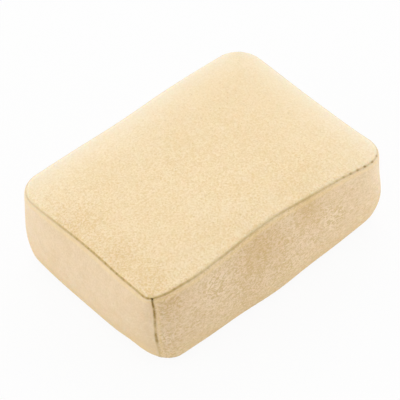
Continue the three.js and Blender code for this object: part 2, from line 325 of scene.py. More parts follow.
def noted(piece: bpy.types.Object, name: str) -> np.ndarray:
    """Rows of x, y, z that note() has kept with a piece's vertices."""
    return rows_of(piece.data.attributes[name].data, "vector")


def put(piece: bpy.types.Object, points: np.ndarray) -> None:
    """Moves a piece's vertices to rows of x, y, z."""
    piece.data.vertices.foreach_set("co", np.ascontiguousarray(points, dtype=float).ravel())
    piece.data.update()


def note(piece: bpy.types.Object, name: str, values: np.ndarray) -> None:
    """Keeps a number or a vector with each vertex, for later work or for a material.

    Args:
        piece: the mesh object.
        name: name of the attribute.
        values: one row or one number a vertex.
    """
    kind, slot = ("FLOAT", "value") if values.ndim == 1 else ("FLOAT_VECTOR", "vector")
    attribute = piece.data.attributes.get(name)
    if attribute is None:
        attribute = piece.data.attributes.new(name, kind, "POINT")
    attribute.data.foreach_set(slot, np.ascontiguousarray(values, dtype=float).ravel())


def work_on(piece: bpy.types.Object) -> None:
    """Makes a piece the only selected object, and the active one.

    Args:
        piece: the piece to work on.
    """
    bpy.ops.object.select_all(action="DESELECT")
    piece.select_set(True)
    bpy.context.view_layer.objects.active = piece


def smooth_shaded(piece: bpy.types.Object) -> bpy.types.Object:
    """Shades a piece smooth.

    Args:
        piece: the piece, in object mode.

    Returns:
        The same piece.
    """
    work_on(piece)
    bpy.ops.object.shade_smooth()
    return piece


def draw_section(name: str, points: Sequence[Vector]) -> bpy.types.Object:
    """Draws an open line of edges, point by point, and leaves it selected in edit mode.

    Args:
        name: name of the new piece.
        points: the points of the line.

    Returns:
        The new object, in edit mode.
    """
    bpy.ops.object.select_all(action="DESELECT")
    bpy.ops.mesh.primitive_plane_add(size=MM, location=(0, 0, 0))
    piece = bpy.context.object
    piece.name = piece.data.name = name
    bpy.ops.object.mode_set(mode="EDIT")
    bpy.ops.mesh.select_mode(type="VERT")
    bpy.ops.mesh.merge(type="CENTER")
    bpy.ops.transform.translate(value=points[0])
    for before, after in zip(points, points[1:]):
        bpy.ops.mesh.extrude_vertices_move(TRANSFORM_OT_translate={"value": after - before})
    bpy.ops.mesh.select_all(action="SELECT")
    return piece


def sweep_straight(way: Vector, steps: int) -> None:
    """Extrudes the selected line of edges along a straight side, in equal steps."""
    for _ in range(steps):
        bpy.ops.mesh.extrude_region_move(TRANSFORM_OT_translate={"value": way / steps})


def sweep_round(centre: tuple[float, float], angle: float, steps: int) -> None:
    """Spins the selected line of edges round an upright axis, anticlockwise from above."""
    bpy.ops.mesh.spin(steps=steps, angle=-angle, center=(*centre, 0), axis=(0, 0, 1))


def sweep_rim(name: str, section: Sequence[tuple[float, float]]) -> bpy.types.Object:
    """Sweeps a section of the edge once round the pad.

    Args:
        name: name of the new piece.
        section: pairs of outward distance and rise, from the top edge of the box.

    Returns:
        The rim, in edit mode.
    """
    line = [
        Vector((-BOX.corner_x, -BOX.half_width - out, BOX.height + rise)) for out, rise in section
    ]
    piece = draw_section(name, line)
    corners = ((1, -1), (1, 1), (-1, 1), (-1, -1))
    for turn, (right, behind) in enumerate(corners):
        long_side = turn % 2 == 0
        length = 2 * (BOX.corner_x if long_side else BOX.corner_y)
        way = Matrix.Rotation(turn * RIGHT_ANGLE, 3, "Z") @ Vector((1, 0, 0))
        sweep_straight(way * length, BOX.long_steps if long_side else BOX.short_steps)
        centre = right * BOX.corner_x, behind * BOX.corner_y
        sweep_round(centre, RIGHT_ANGLE, BOX.corner_steps)
    bpy.ops.mesh.select_all(action="SELECT")
    bpy.ops.mesh.remove_doubles(threshold=TINY)
    return piece


def choose(piece: bpy.types.Object, test: Callable[..., bool], kind: str = "EDGE") -> int:
    """Selects edges or faces of a piece in edit mode by a test of their place.

    Args:
        piece: the object, in edit mode.
        test: takes a bmesh edge or face and says whether it is wanted.
        kind: EDGE or FACE.

    Returns:
        How many were selected.
    """
    bpy.ops.mesh.select_mode(type=kind)
    bpy.ops.mesh.select_all(action="DESELECT")
    mesh = bmesh.from_edit_mesh(piece.data)
    found = [part for part in (mesh.edges if kind == "EDGE" else mesh.faces) if test(part)]
    for part in found:
        part.select_set(True)
    bmesh.update_edit_mesh(piece.data, loop_triangles=False, destructive=False)
    return len(found)


def fill_middle(piece: bpy.types.Object, height: float) -> None:
    """Fills the level opening inside a rim with a grid, from one long side to the other.

    Args:
        piece: the rim, in edit mode.
        height: height of the opening.
    """

    def on_long_side(edge: bmesh.types.BMEdge) -> bool:
        """Whether an edge bounds the opening along one of the two long sides.

        Args:
            edge: an edge of the rim.

        Returns:
            True for an edge that the grid starts or ends at.
        """
        if not edge.is_boundary:
            return False
        middle = sum((corner.co for corner in edge.verts), Vector()) / 2
        if abs(middle.z - height) > TINY:
            return False
        aside = abs(middle.x) - BOX.corner_x
        beyond = abs(middle.y) - BOX.corner_y
        return beyond > max(aside, 0) and abs(aside) < BOX.half_length

    count = choose(piece, on_long_side)
    log.info("%s: grid between %d edges", piece.name, count)
    bpy.ops.mesh.fill_grid(use_interp_simple=False)


def finish_mesh(piece: bpy.types.Object, probe: Vector, out: Vector) -> None:
    """Merges doubles and turns all faces outwards, then leaves edit mode.

    Args:
        piece: the object, in edit mode.
        probe: a place on the piece.
        out: the direction that the face nearest to that place has to look in.
    """
    bpy.ops.mesh.select_all(action="SELECT")
    bpy.ops.mesh.remove_doubles(threshold=TINY)
    bpy.ops.mesh.normals_make_consistent(inside=False)
    mesh = bmesh.from_edit_mesh(piece.data)
    nearest = min(mesh.faces, key=lambda face: (face.calc_center_median() - probe).length)
    if nearest.normal.dot(out) < 0:
        bpy.ops.mesh.flip_normals()
    bpy.ops.object.mode_set(mode="OBJECT")


def copy_of(piece: bpy.types.Object, name: str, scale: tuple[float, float, float]) -> bpy.types.Object:
    """Copies a piece, with a mesh of its own, mirrored or turned about the box's middle.

    Args:
        piece: the piece to copy.
        name: name of the copy.
        scale: 1 or -1 along each axis.

    Returns:
        The copy.
    """
    work_on(piece)
    bpy.ops.object.duplicate(linked=False)
    twin = bpy.context.object
    twin.name = twin.data.name = name
    bpy.ops.object.mode_set(mode="EDIT")
    bpy.ops.mesh.select_all(action="SELECT")
    bpy.ops.transform.resize(value=scale, center_override=(0, 0, BOX.height / 2))
    if math.prod(scale) < 0:
        bpy.ops.mesh.flip_normals()
    bpy.ops.object.mode_set(mode="OBJECT")
    return twin


def apply_modifier(piece: bpy.types.Object, kind: str, **settings: object) -> None:
    """Adds a modifier with its settings and applies it.

    Args:
        piece: the mesh object.
        kind: Blender's name of the modifier.
        settings: the modifier's own properties.
    """
    work_on(piece)
    modifier = piece.modifiers.new(kind.lower(), kind)
    for name, value in settings.items():
        setattr(modifier, name, value)
    bpy.ops.object.modifier_apply(modifier=modifier.name)


# Stuffing


@dataclass(frozen=True)
class Spot:
    """A place on the box, in shares of its half length, half width and height, and a reach in mm."""

    place: tuple[float, float, float]
    reach: float

    def nearness(self, points: np.ndarray) -> np.ndarray:
        """1 for points of the box at the spot, falling to nothing about two reaches away."""
        middle = np.array(self.place) * (BOX.half_length, BOX.half_width, BOX.height)
        return np.exp(-(((points - middle) / (self.reach * MM)) ** 2).sum(axis=1))


def near_any(spots: Sequence[Spot], points: np.ndarray) -> np.ndarray:
    """Nearness of points of the box to the nearest of several spots."""
    return np.max([spot.nearness(points) for spot in spots], axis=0)


@dataclass(frozen=True)
class Stroke(Spot):
    """A stroke that moves the stuffed form round a spot, by so many millimetres."""

    move: tuple[float, float, float] = (0.0, 0.0, 0.0)

    def shift(self, points: np.ndarray) -> np.ndarray:
        """The movement that the stroke gives to points of the box, in metres."""
        return self.nearness(points)[:, None] * np.array(self.move) * MM


@dataclass
class Stuffing:
    """Swells the laid-out pieces into the stuffed pad."""

    # How far the top rises and the sides bulge at most, and how firmly the foam evens both out.
    crown: float = 2.4 * MM
    side_bulge: float = 1.6 * MM
    firmness: float = 1.5
    # The hem tucks in below hem_height, and the base lifts beyond flat_base, a share of its half.
    hem_tuck: float = 2.4 * MM
    hem_height: float = 16 * MM
    hem_lift: float = 1.6 * MM
    flat_base: float = 0.74
    # The seam draws the middle of the long sides in. Squareness is that of the base's outline.
    seam_draw: float = 1.4 * MM
    squareness: int = 6
    # The cloth simulation: mesh size, pressure, stiffness, length, and what the seams hold still.
    voxel: float = 4 * MM
    pressure: float = 4.0
    stiffness: float = 5.0
    frames: int = 20
    sewn_reach: float = 3.5 * MM
    # Reach of the mean that carries the swelling to the pieces, and how many points go at once.
    smoothing: float = 4.5 * MM
    handful: int = 1000
    strokes: tuple[Stroke, ...] = ()
    # The form's points before the simulation, and how far each of them swells.
    rest: np.ndarray | None = None
    swelling: np.ndarray | None = None

    def swell(self) -> None:
        """Runs the cloth simulation of the stuffed form and keeps how far each place swells."""
        bpy.ops.object.select_all(action="DESELECT")
        bpy.ops.mesh.primitive_cube_add(size=1, location=(0, 0, BOX.height / 2))
        form = bpy.context.object
        form.scale = (2 * BOX.half_length, 2 * BOX.half_width, BOX.height)
        bpy.ops.object.transform_apply(location=True, rotation=False, scale=True)
        bpy.ops.object.mode_set(mode="EDIT")
        choose(form, lambda edge: abs(edge.verts[0].co.z - edge.verts[1].co.z) > BOX.height / 2)
        bpy.ops.mesh.bevel(offset=BOX.corner_radius, segments=BOX.corner_steps, affect="EDGES")
        bpy.ops.object.mode_set(mode="OBJECT")
        form.data.remesh_voxel_size = self.voxel
        bpy.ops.object.voxel_remesh()
        self.rest = places(form)
        self._sew(form)
        self._press(form)
        moved = places(form) - self.rest
        bpy.data.objects.remove(form)
        self.swelling = self._scaled(moved)
        log.info("stuffed form: %d points, simulated %.2f mm", len(moved), np.abs(moved).max() / MM)

    def _sew(self, form: bpy.types.Object) -> None:
        """Holds the seams and the underside, which don't move while the faces swell.

        Args:
            form: the form before it is pressed.
        """
        from_seam = [np.hypot(*BOX.edge_place(self.rest, edge)) for edge in Edge]
        held = peak(np.minimum(*from_seam), self.sewn_reach)
        held = np.where(self.rest[:, 2] < self.voxel / 2, 1.0, held)
        group = form.vertex_groups.new(name="sewn")
        for index, weight in enumerate(held):
            group.add([index], float(weight), "REPLACE")

    def _press(self, form: bpy.types.Object) -> None:
        """Lets the foam press on the cover for a second or so, and applies the result.

        Args:
            form: the form, with the group that holds its seams.
        """
        cloth = form.modifiers.new("stuffing", "CLOTH")
        cloth.settings.vertex_group_mass = "sewn"
        cloth.settings.use_pressure = True
        cloth.settings.uniform_pressure_force = self.pressure
        cloth.settings.effector_weights.gravity = 0
        cloth.settings.bending_stiffness = self.stiffness
        cloth.point_cache.frame_start = 1
        cloth.point_cache.frame_end = self.frames
        scene = bpy.context.scene
        for step in range(1, self.frames + 1):
            scene.frame_set(step)
        work_on(form)
        bpy.ops.object.modifier_apply(modifier=cloth.name)
        scene.frame_set(1)

    def _scaled(self, moved: np.ndarray) -> np.ndarray:
        """Scales the simulated swelling to the set crown and bulge, and flattens its peaks.

        Args:
            moved: rows of x, y, z, as the simulation moved the form.

        Returns:
            The same rows, scaled.
        """
        up = np.maximum(moved[:, 2], 0)
        level = moved[:, :2]
        side = np.linalg.norm(level, axis=1)
        side_share = np.tanh(self.firmness * side / side.max()) / math.tanh(self.firmness)
        up_share = np.tanh(self.firmness * up / up.max()) / math.tanh(self.firmness)
        level = level / np.maximum(side, TINY)[:, None] * (side_share * self.side_bulge)[:, None]
        return np.column_stack([level, up_share * self.crown])

    def _swelling_at(self, points: np.ndarray) -> np.ndarray:
        """Swelling of any points of the box, by a formula if nothing was simulated.

        Args:
            points: rows of x, y, z on the box.

        Returns:
            How far each point moves, a mean of the form's points around it.
        """
        if self.rest is None:
            along, across = points[:, 0] / BOX.half_length, points[:, 1] / BOX.half_width
            up = points[:, 2] / BOX.height
            bulge = self.side_bulge * 4 * up * (1 - up)
            crown = self.crown * (1 - along**4) * (1 - across**4) * up**2
            return np.column_stack([bulge * along**3, bulge * across**3, crown])
        shifts = np.empty_like(points)
        for start in range(0, len(points), self.handful):
            chosen = slice(start, start + self.handful)
            apart = ((points[chosen, None, :] - self.rest[None, :, :]) ** 2).sum(axis=2)
            apart -= apart.min(axis=1, keepdims=True)
            weight = np.exp(-apart / self.smoothing**2)
            shifts[chosen] = weight @ self.swelling / weight.sum(axis=1)[:, None]
        return shifts

    def fill(self, points: np.ndarray) -> np.ndarray:
        """Moves points of the box to their places on the stuffed pad.

        Args:
            points: rows of x, y, z on the box.

        Returns:
            The same rows on the pad.
        """
        along, across = points[:, 0] / BOX.half_length, points[:, 1] / BOX.half_width
        up = points[:, 2] / BOX.height
        tuck = self.hem_tuck * np.clip(1 - points[:, 2] / self.hem_height, 0, None) ** 2
        upper = np.clip(2 * up - 1, 0, None) ** 2
        draw = self.seam_draw * upper * (1 - along**2) ** 2
        outward = (along**self.squareness + across**self.squareness) ** (1 / self.squareness)
        lift = np.clip((outward - self.flat_base) / (1 - self.flat_base), 0, None) ** 2
        moved = points + self._swelling_at(points)
        moved[:, 0] -= tuck * along**3
        moved[:, 1] -= (tuck + draw) * across**3
        moved[:, 2] += self.hem_lift * lift * (1 - up) ** 2
        for stroke in self.strokes:
            moved += stroke.shift(points)
        moved[:, 2] = np.maximum(moved[:, 2], 0)
        return moved


# Leather cover


@dataclass
class SeamMarks:
    """How strongly each vertex shows painted shade along a seam's fold line and at each stitch hole,
    and a painted highlight on the rim beside it.
    """

    crease_shade: np.ndarray
    hole_shade: np.ndarray
    rim: np.ndarray

    def add(self, crease_shade: np.ndarray, hole_shade: np.ndarray, rim: np.ndarray) -> None:
        """Keeps the stronger mark of each kind.

        Args:
            crease_shade: how much painted shade each vertex gets along a seam's fold line, from 0 to 1.
            hole_shade: how much painted shade each vertex gets near a stitch hole, from 0 to 1.
            rim: how much painted highlight each vertex gets on the rim beside a seam, from 0 to 1.
        """
        self.crease_shade = np.maximum(self.crease_shade, crease_shade)
        self.hole_shade = np.maximum(self.hole_shade, hole_shade)
        self.rim = np.maximum(self.rim, rim)


@dataclass
class LeatherCover:
    """The four pieces of chamois leather, each with its edges turned in."""

    stuffing: Stuffing
    # The rim of a panel, the rows of faces on a side strip, and the smoothing of every piece.
    ring_reach: float = 6.2 * MM
    face_rows: int = 8
    levels: int = 2
    # Where three seams meet: how much of a tail's setback is cut away, and the room that is left.
    notch_share: float = 0.7
    tail_clearance: float = 0.5 * MM
    narrowest_share: float = 0.5
    # Edges along a seam are divided on the folds, from this far on either side of the seam plane.
    fine_reach: tuple[float, float] = (1.3 * MM, 1.95 * MM)
    fine_depth: tuple[float, float] = (0.2 * MM, 0.7 * MM)
    fine_share: float = 0.4
    fine_closeness: float = 0.5
    fine_step: float = 0.4 * MM
    # The stitches, and how far each pulls the folds in and apart where it is tight.
    stitch_pitch: float = 3.5 * MM
    corner_pitch: float = 5.4 * MM
    pucker_depth: float = 0.16 * MM
    pucker_opening: float = 0.03 * MM
    pucker_width: float = 0.55 * MM
    pucker_reach: float = 0.8 * MM
    pucker_shares: tuple[float, float] = (0.5, 0.85)
    pucker_end: tuple[float, float] = (0.5 * MM, 1.5 * MM)
    # The least pull of a stitch, and the share of painted crease shade that is left there.
    slack: float = 0.3
    slack_crease_share: float = 0.5
    # Nap fills the bottom of a seam between its folds, least in an open corner.
    nap_bridge: float = 0.6 * MM
    closed_bridge: float = 0.8 * MM
    corner_bridge: float = 0.5 * MM
    bridge_depth: float = 0.8 * MM
    bridge_width: float = 0.38 * MM
    # Where painted shade marks the crease, beside the seam plane and down from the edge, and where a
    # painted highlight lies on the rim next to it.
    crease_reach: tuple[float, float] = (0.1 * MM, 0.7 * MM)
    crease_shares: tuple[float, float] = (0.45, 0.65)
    crease_end: float = 8 * MM
    corner_crease_reach: tuple[float, float] = (0.15 * MM, 0.75 * MM)
    corner_crease_end: float = 12 * MM
    corner_crease_share: float = 0.3
    corner_stitch_share: float = 0.6
    corner_stitch_width: float = 0.9 * MM
    rim_start: tuple[float, float] = (0.5 * MM, 1.1 * MM)
    rim_end: tuple[float, float] = (1.5 * MM, 2.3 * MM)
    rim_depth: tuple[float, float] = (1.8 * MM, 2.6 * MM)
    # A painted highlight on the strips' lower edges stands for light bounced from the table, and a
    # painted glow on the far upper edges for grazing back light and sheen.
    bounce_height: float = 9 * MM
    glow_reach: float = 8 * MM
    glow_shares: tuple[float, float] = (0.1, 1.0)
    # The nap of a panel is calm where it lies flat, more so towards the far corner.
    calm_share: float = 0.72
    far_shares: tuple[float, float] = (-0.2, 1.2)
    brushed_darkening: float = 0.35
    # The thread is tight at some places along the seam, and the nap closes over it at others.
    tight_spots: tuple[Spot, ...] = (
        Spot((0.8, -1, 1), 20),
        Spot((-0.7, -1, 1), 18),
        Spot((-1, -0.35, 1), 22),
        Spot((-1, -0.85, 1), 8),
    )
    gaping_spots: tuple[Spot, ...] = (
        Spot((-0.94, -0.92, 0.86), 9.5),
        Spot((-0.94, -0.92, 0.42), 3),
    )
    closed_spots: tuple[Spot, ...] = (
        Spot((-0.97, 0.85, 1), 20),
        Spot((-0.55, -1, 1), 13),
        Spot((-0.05, -1, 1), 11),
        Spot((0.5, -1, 1), 9),
        Spot((1, -0.82, 1), 11),
    )
    # Near the right end the seam's painted shade lies at the stitch holes more than along the crease.
    dotted_spot: Spot = Spot((0.78, -1, 1), 13)
    dotted_crease_loss: float = 0.6
    plain_holes_share: float = 0.4
    closed_loss: float = 0.5
    # Scuffs curl the nap, a hand has brushed the panel's near end up, and some spots on the front are
    # darker.
    scuffs: tuple[Spot, ...] = (
        Spot((-0.87, -1, 0.83), 5),
        Spot((-0.93, -1, 0.4), 4.5),
        Spot((-0.9, -1, 0.12), 5),
        Spot((-0.5, -1, 0.72), 5),
        Spot((0.5, -1, 0.6), 5),
    )
    brushed_up: tuple[Spot, ...] = (
        Spot((-0.95, 0.25, 1), 11),
        Spot((-0.95, -0.3, 1), 11),
        Spot((-0.9, -0.82, 1), 10),
    )
    darker_spots: tuple[Spot, ...] = (
        Spot((-0.86, -1, 0.85), 7),
        Spot((-0.1, -1, 0.8), 13),
        Spot((0.33, -1, 0.92), 8),
    )
    rough_middle: Spot = Spot((-0.1, -1, 0.5), 30)

    @property
    def stitches(self) -> int:
        """Number of stitches once round the pad."""
        return round(BOX.seam_length / self.stitch_pitch)

    @property
    def fold_start(self) -> float:
        """Angle round a corner's middle at which a strip's end begins to turn in."""
        inner = BOX.corner_radius - SEAM.fold_radius
        return RIGHT_ANGLE / 2 - math.asin(SEAM.offset / inner)

    @property
    def fold_turn(self) -> float:
        """How far a strip's end turns, so that its allowance lies along the corner's seam."""
        return RIGHT_ANGLE + RIGHT_ANGLE / 2 - self.fold_start

    @property
    def panel_flat(self) -> tuple[float, float]:
        """Width and length to which a panel is cut, before its edges are turned in."""
        return 2 * (BOX.half_width + SEAM.past_edge), 2 * (BOX.half_length + SEAM.past_edge)

    @property
    def strip_flat(self) -> tuple[float, float]:
        """Width and length to which a strip is cut, from one turned-in end to the other.

        Returns:
            The width and the length, in metres.
        """
        sides = 2 * (BOX.corner_x + BOX.corner_y) + RIGHT_ANGLE * BOX.corner_radius
        end = self.fold_start * BOX.corner_radius + self.fold_turn * SEAM.fold_radius
        return BOX.height + 2 * SEAM.past_edge, sides + 2 * (end + SEAM.corner_allowance)

    def top_panel(self) -> bpy.types.Object:
        """Lays out the top panel: a rim swept round the pad, then a grid that fills it.

        Returns:
            The panel, on the box.
        """
        inner = [(-self.ring_reach, 0.0), ((-self.ring_reach - SEAM.setback) / 2, 0.0)]
        piece = sweep_rim("top_panel_leather", inner + SEAM.turned_edge(Sewn.PANEL))
        fill_middle(piece, BOX.height)
        finish_mesh(piece, Vector((0, 0, BOX.height)), Vector((0, 0, 1)))
        return piece

    def front_strip(self) -> bpy.types.Object:
        """Lays out the strip of the front long side and the right short side.

        Returns:
            The strip, on the box, with both ends turned in.
        """
        turned = SEAM.turned_edge(Sewn.STRIP)
        section = [(out, BOX.height + rise) for out, rise in reversed(turned)]
        low, high = SEAM.setback, BOX.height - SEAM.setback
        rows = range(1, self.face_rows)
        section += [(0.0, high + (low - high) * row / self.face_rows) for row in rows]
        section += [(out, -rise) for out, rise in turned]
        line = [Vector((-BOX.corner_x, -BOX.half_width - out, height)) for out, height in section]
        piece = draw_section("front_strip_leather", line)
        sweep_straight(Vector((2 * BOX.corner_x, 0, 0)), BOX.long_steps)
        sweep_round((BOX.corner_x, -BOX.corner_y), RIGHT_ANGLE, BOX.corner_steps)
        sweep_straight(Vector((0, 2 * BOX.corner_y, 0)), BOX.short_steps)
        self._sweep_end(Corner.FAR)

        def first_line(edge: bmesh.types.BMEdge) -> bool:
            """Whether an edge belongs to the line that the sweep began with.

            Args:
                edge: an edge of the strip.

            Returns:
                True for an edge of that line.
            """
            return len(edge.link_faces) == 1 and all(
                abs(corner.co.x + BOX.corner_x) < TINY and corner.co.y < -BOX.corner_y
                for corner in edge.verts
            )

        choose(piece, first_line)
        self._sweep_end(Corner.NEAR)
        self._notch(piece)
        finish_mesh(piece, Vector((0, -BOX.half_width, BOX.height / 2)), Vector((0, -1, 0)))
        points = places(piece)
        for corner in Corner:
            points = self._turn_in(points, corner)
        put(piece, points)
        return piece

    def _sweep_end(self, corner: Corner) -> None:
        """Sweeps a strip's end to the corner seam, and on by what turns in there.

        Args:
            corner: the corner that the end is sewn at.
        """
        way = corner.value
        turned = SEAM.fold_radius * self.fold_turn / BOX.corner_radius
        tail = SEAM.corner_allowance / BOX.corner_radius
        for angle, steps in (
            (self.fold_start, BOX.corner_steps // 2),
            (turned, SEAM.corner_fold_steps),
            (tail, SEAM.tail_steps),
        ):
            sweep_round((way * BOX.corner_x, way * BOX.corner_y), way * angle, steps)

    def _past_fold(self, points: np.ndarray, corner: Corner) -> tuple[np.ndarray, np.ndarray]:
        """How far points lie past the start of a strip's end fold, and their corner radius.

        Args:
            points: rows of x, y, z.
            corner: the corner that the end is sewn at.

        Returns:
            The length along the face, below zero before the fold, and the radius.
        """
        x, y = BOX.from_corner(points, corner)
        angle = np.arctan2(y, x) if corner is Corner.FAR else np.arctan2(x, y)
        in_corner = (x > -TINY) & (y > -TINY)
        past = np.where(in_corner, (angle - self.fold_start) * BOX.corner_radius, -1.0)
        return past, np.hypot(x, y)

    def _notch(self, piece: bpy.types.Object) -> None:
        """Cuts the allowances away where three seams meet, so that they don't bunch up.

        Args:
            piece: the strip, in edit mode, with its ends still laid round the corners.
        """
        fold = SEAM.fold_radius * self.fold_turn
        open_part = fold * 2 / SEAM.corner_fold_steps

        def in_notch(face: bmesh.types.BMFace) -> bool:
            """Whether a face lies where the allowances of two seams would cross.

            Args:
                face: a face of the strip.

            Returns:
                True for a face that is cut away.
            """
            middle = np.array(face.calc_center_median())[None, :]
            out = BOX.outward(middle)[0]
            from_edge = min(middle[0, 2], BOX.height - middle[0, 2])
            if from_edge > SEAM.setback and out > -SEAM.fold_radius:
                return False
            past = max(self._past_fold(middle, corner)[0][0] for corner in Corner)
            tail = out < -SEAM.setback * self.notch_share and from_edge > SEAM.fold_radius
            return past > (0 if tail else open_part)

        choose(piece, in_notch, "FACE")
        bpy.ops.mesh.delete(type="FACE")

    def _turn_in(self, points: np.ndarray, corner: Corner) -> np.ndarray:
        """Folds a strip's end inwards beside the corner seam.

        Args:
            points: rows of x, y, z, with the end still laid round the corner.
            corner: the corner that the end is sewn at.

        Returns:
            The same rows, with the end turned in.
        """
        past, radius = self._past_fold(points, corner)
        ends = past > TINY
        past, radius, height = past[ends], radius[ends], points[ends, 2]
        start = self.fold_start if corner is Corner.FAR else RIGHT_ANGLE - self.fold_start
        facing = np.array([math.cos(start), math.sin(start), 0.0]) * corner.value
        onward = np.array([-math.sin(start), math.cos(start), 0.0])
        seam = np.array([HALF_DIAGONAL, HALF_DIAGONAL, 0.0]) * corner.value
        middle = np.array([BOX.corner_x, BOX.corner_y, 0.0]) * corner.value
        upper = height > BOX.height / 2
        from_edge = np.where(upper, BOX.height - height, height)
        slope = np.arctan2(SEAM.setback - from_edge, radius - BOX.corner_radius + SEAM.fold_radius)
        slope = np.where(from_edge < SEAM.setback - TINY, slope, 0)
        slope = np.clip(slope, 0, math.radians(SEAM.fold_angles[-1]))
        normal = np.cos(slope)[:, None] * facing
        normal[:, 2] = np.sin(slope) * np.where(upper, 1, -1)
        turn = np.minimum(past / SEAM.fold_radius, self.fold_turn)
        room = from_edge - SEAM.fold_radius - self.tail_clearance
        tail = past - SEAM.fold_radius * turn
        tail *= np.clip(room, 0, SEAM.corner_allowance) / SEAM.corner_allowance
        narrower = np.clip(radius / BOX.corner_radius, self.narrowest_share, 1)
        turned = middle + radius[:, None] * facing
        turned[:, 2] = height
        turned -= SEAM.fold_radius * (1 - np.cos(turn))[:, None] * normal
        turned += (SEAM.fold_radius * np.sin(turn) * narrower)[:, None] * onward
        turned -= tail[:, None] * seam
        folded = points.copy()
        folded[ends] = turned
        return folded

    def dress(self, piece: bpy.types.Object) -> None:
        """Stuffs a laid-out piece, gives it its thickness and smooths it.

        Args:
            piece: a panel or a strip, on the box.
        """
        laid = places(piece)
        note(piece, "laid", laid)
        put(piece, self.stuffing.fill(laid))
        apply_modifier(
            piece,
            "SOLIDIFY",
            thickness=SEAM.leather,
            offset=-1,
            use_even_offset=True,
            use_quality_normals=True,
        )
        apply_modifier(piece, "SUBSURF", levels=self.levels, render_levels=self.levels)
        self._refine_seams(piece)
        self._pucker(piece)
        smooth_shaded(piece)

    def _refine_seams(self, piece: bpy.types.Object) -> None:
        """Divides the edges that run along a seam, where the stitches pucker the leather.

        Args:
            piece: the stuffed piece.
        """
        laid = noted(piece, "laid")
        on_fold = np.zeros(len(laid), dtype=bool)
        for edge in Edge:
            depth, aside = BOX.edge_place(laid, edge)
            close = 1 - gentle(*self.fine_reach, np.abs(aside))
            close *= 1 - gentle(*self.fine_depth, depth - SEAM.depth)
            on_fold |= (close > self.fine_closeness) & (depth > self.fine_share * SEAM.depth)
        station = BOX.station(laid)
        work_on(piece)
        bpy.ops.object.mode_set(mode="EDIT")

        def along_seam(edge: bmesh.types.BMEdge) -> bool:
            """Whether an edge lies on a fold and runs along the seam.

            Args:
                edge: an edge of the piece.

            Returns:
                True for an edge that is cut in two.
            """
            first, second = (corner.index for corner in edge.verts)
            apart = abs(station[first] - station[second])
            return bool(on_fold[first] and on_fold[second]) and apart > self.fine_step

        choose(piece, along_seam)
        bpy.ops.mesh.subdivide(number_cuts=1)
        bpy.ops.object.mode_set(mode="OBJECT")

    def _pucker(self, piece: bpy.types.Object) -> None:
        """Draws the folds in at each stitch, and notes for the material what each vertex shows.

        Args:
            piece: the stuffed piece, with the places that it was laid at.
        """
        laid = noted(piece, "laid")
        points = places(piece)
        marks = SeamMarks(*np.zeros((3, len(laid))))
        tension = self.slack + (1 - self.slack) * near_any(self.tight_spots, laid)
        closed = near_any(self.closed_spots, laid)
        dotted = self.dotted_spot.nearness(laid)
        count = BOX.station(laid) / BOX.seam_length * self.stitches
        apart = (count - np.round(count)) * BOX.seam_length / self.stitches
        stitch = peak(apart, self.pucker_width) * tension
        for edge in Edge:
            points += self._draw_edge(edge, laid, stitch, closed, marks)
        # Painted seam shade is weaker where the thread is slack or the nap closes over it, and lies at
        # the holes near the right end.
        seen = 1 - self.closed_loss * closed
        tight = self.slack_crease_share + (1 - self.slack_crease_share) * tension
        marks.crease_shade *= tight * seen * (1 - self.dotted_crease_loss * dotted)
        marks.hole_shade *= (self.plain_holes_share + (1 - self.plain_holes_share) * dotted) * seen
        is_strip = "strip" in piece.name
        if is_strip:
            for corner in Corner:
                points += self._draw_corner(corner, laid, marks)
        put(piece, points)
        self._note_looks(piece, laid, marks, is_strip)

    def _draw_edge(
        self, edge: Edge, laid: np.ndarray, stitch: np.ndarray, closed: np.ndarray, marks: SeamMarks
    ) -> np.ndarray:
        """Draws in the folds of the seam round the top or the base, and marks them for painted shade
        and highlight.

        Args:
            edge: which seam.
            laid: rows of x, y, z on the box.
            stitch: how hard the nearest stitch pulls at each vertex, from 0 to 1.
            closed: how far the nap closes over the seam at each vertex, from 0 to 1.
            marks: takes the marks of this seam.

        Returns:
            How far each vertex moves.
        """
        depth, aside = BOX.edge_place(laid, edge)
        facing = BOX.facing(laid)
        lift = np.array([0, 0, edge.value])
        inwards = -(facing + lift) * HALF_DIAGONAL
        away = (facing - lift) * HALF_DIAGONAL * np.sign(aside)[:, None]
        pull = stitch * peak(aside, self.pucker_reach)
        pull *= gentle(*self.pucker_shares, depth / SEAM.depth)
        pull *= 1 - gentle(*self.pucker_end, depth - SEAM.depth)
        bridge = self.nap_bridge + (self.closed_bridge - self.nap_bridge) * closed
        bridge *= self._between_folds(depth - SEAM.depth, aside)
        # Painted shade along the seam's crease and at its stitch holes, and a painted highlight on the
        # rim beside it.
        crease_shade = gentle(*self.crease_shares, depth / SEAM.depth) * (depth < self.crease_end)
        crease_shade *= 1 - gentle(*self.crease_reach, np.abs(aside))
        marks.add(crease_shade, crease_shade * stitch, self._rim_highlight(depth, aside))
        moved = (pull * self.pucker_depth - bridge)[:, None] * inwards
        return moved + (pull * self.pucker_opening)[:, None] * away

    def _draw_corner(self, corner: Corner, laid: np.ndarray, marks: SeamMarks) -> np.ndarray:
        """Fills an upright corner seam with nap, and marks painted shade along it, most where it gapes.

        Args:
            corner: which seam.
            laid: rows of x, y, z on the box.
            marks: takes the marks of this seam.

        Returns:
            How far each vertex moves.
        """
        from_stitch = laid[:, 2] - np.round(laid[:, 2] / self.corner_pitch) * self.corner_pitch
        gaping = near_any(self.gaping_spots, laid)
        gaping *= 1 - self.corner_stitch_share * peak(from_stitch, self.corner_stitch_width)
        x, y = BOX.from_corner(laid, corner)
        aside = (x - y) * HALF_DIAGONAL
        depth = BOX.corner_radius - (x + y) * HALF_DIAGONAL
        bridge = self.nap_bridge + (self.corner_bridge - self.nap_bridge) * gaping
        bridge *= self._between_folds(depth - SEAM.fold_radius, aside)
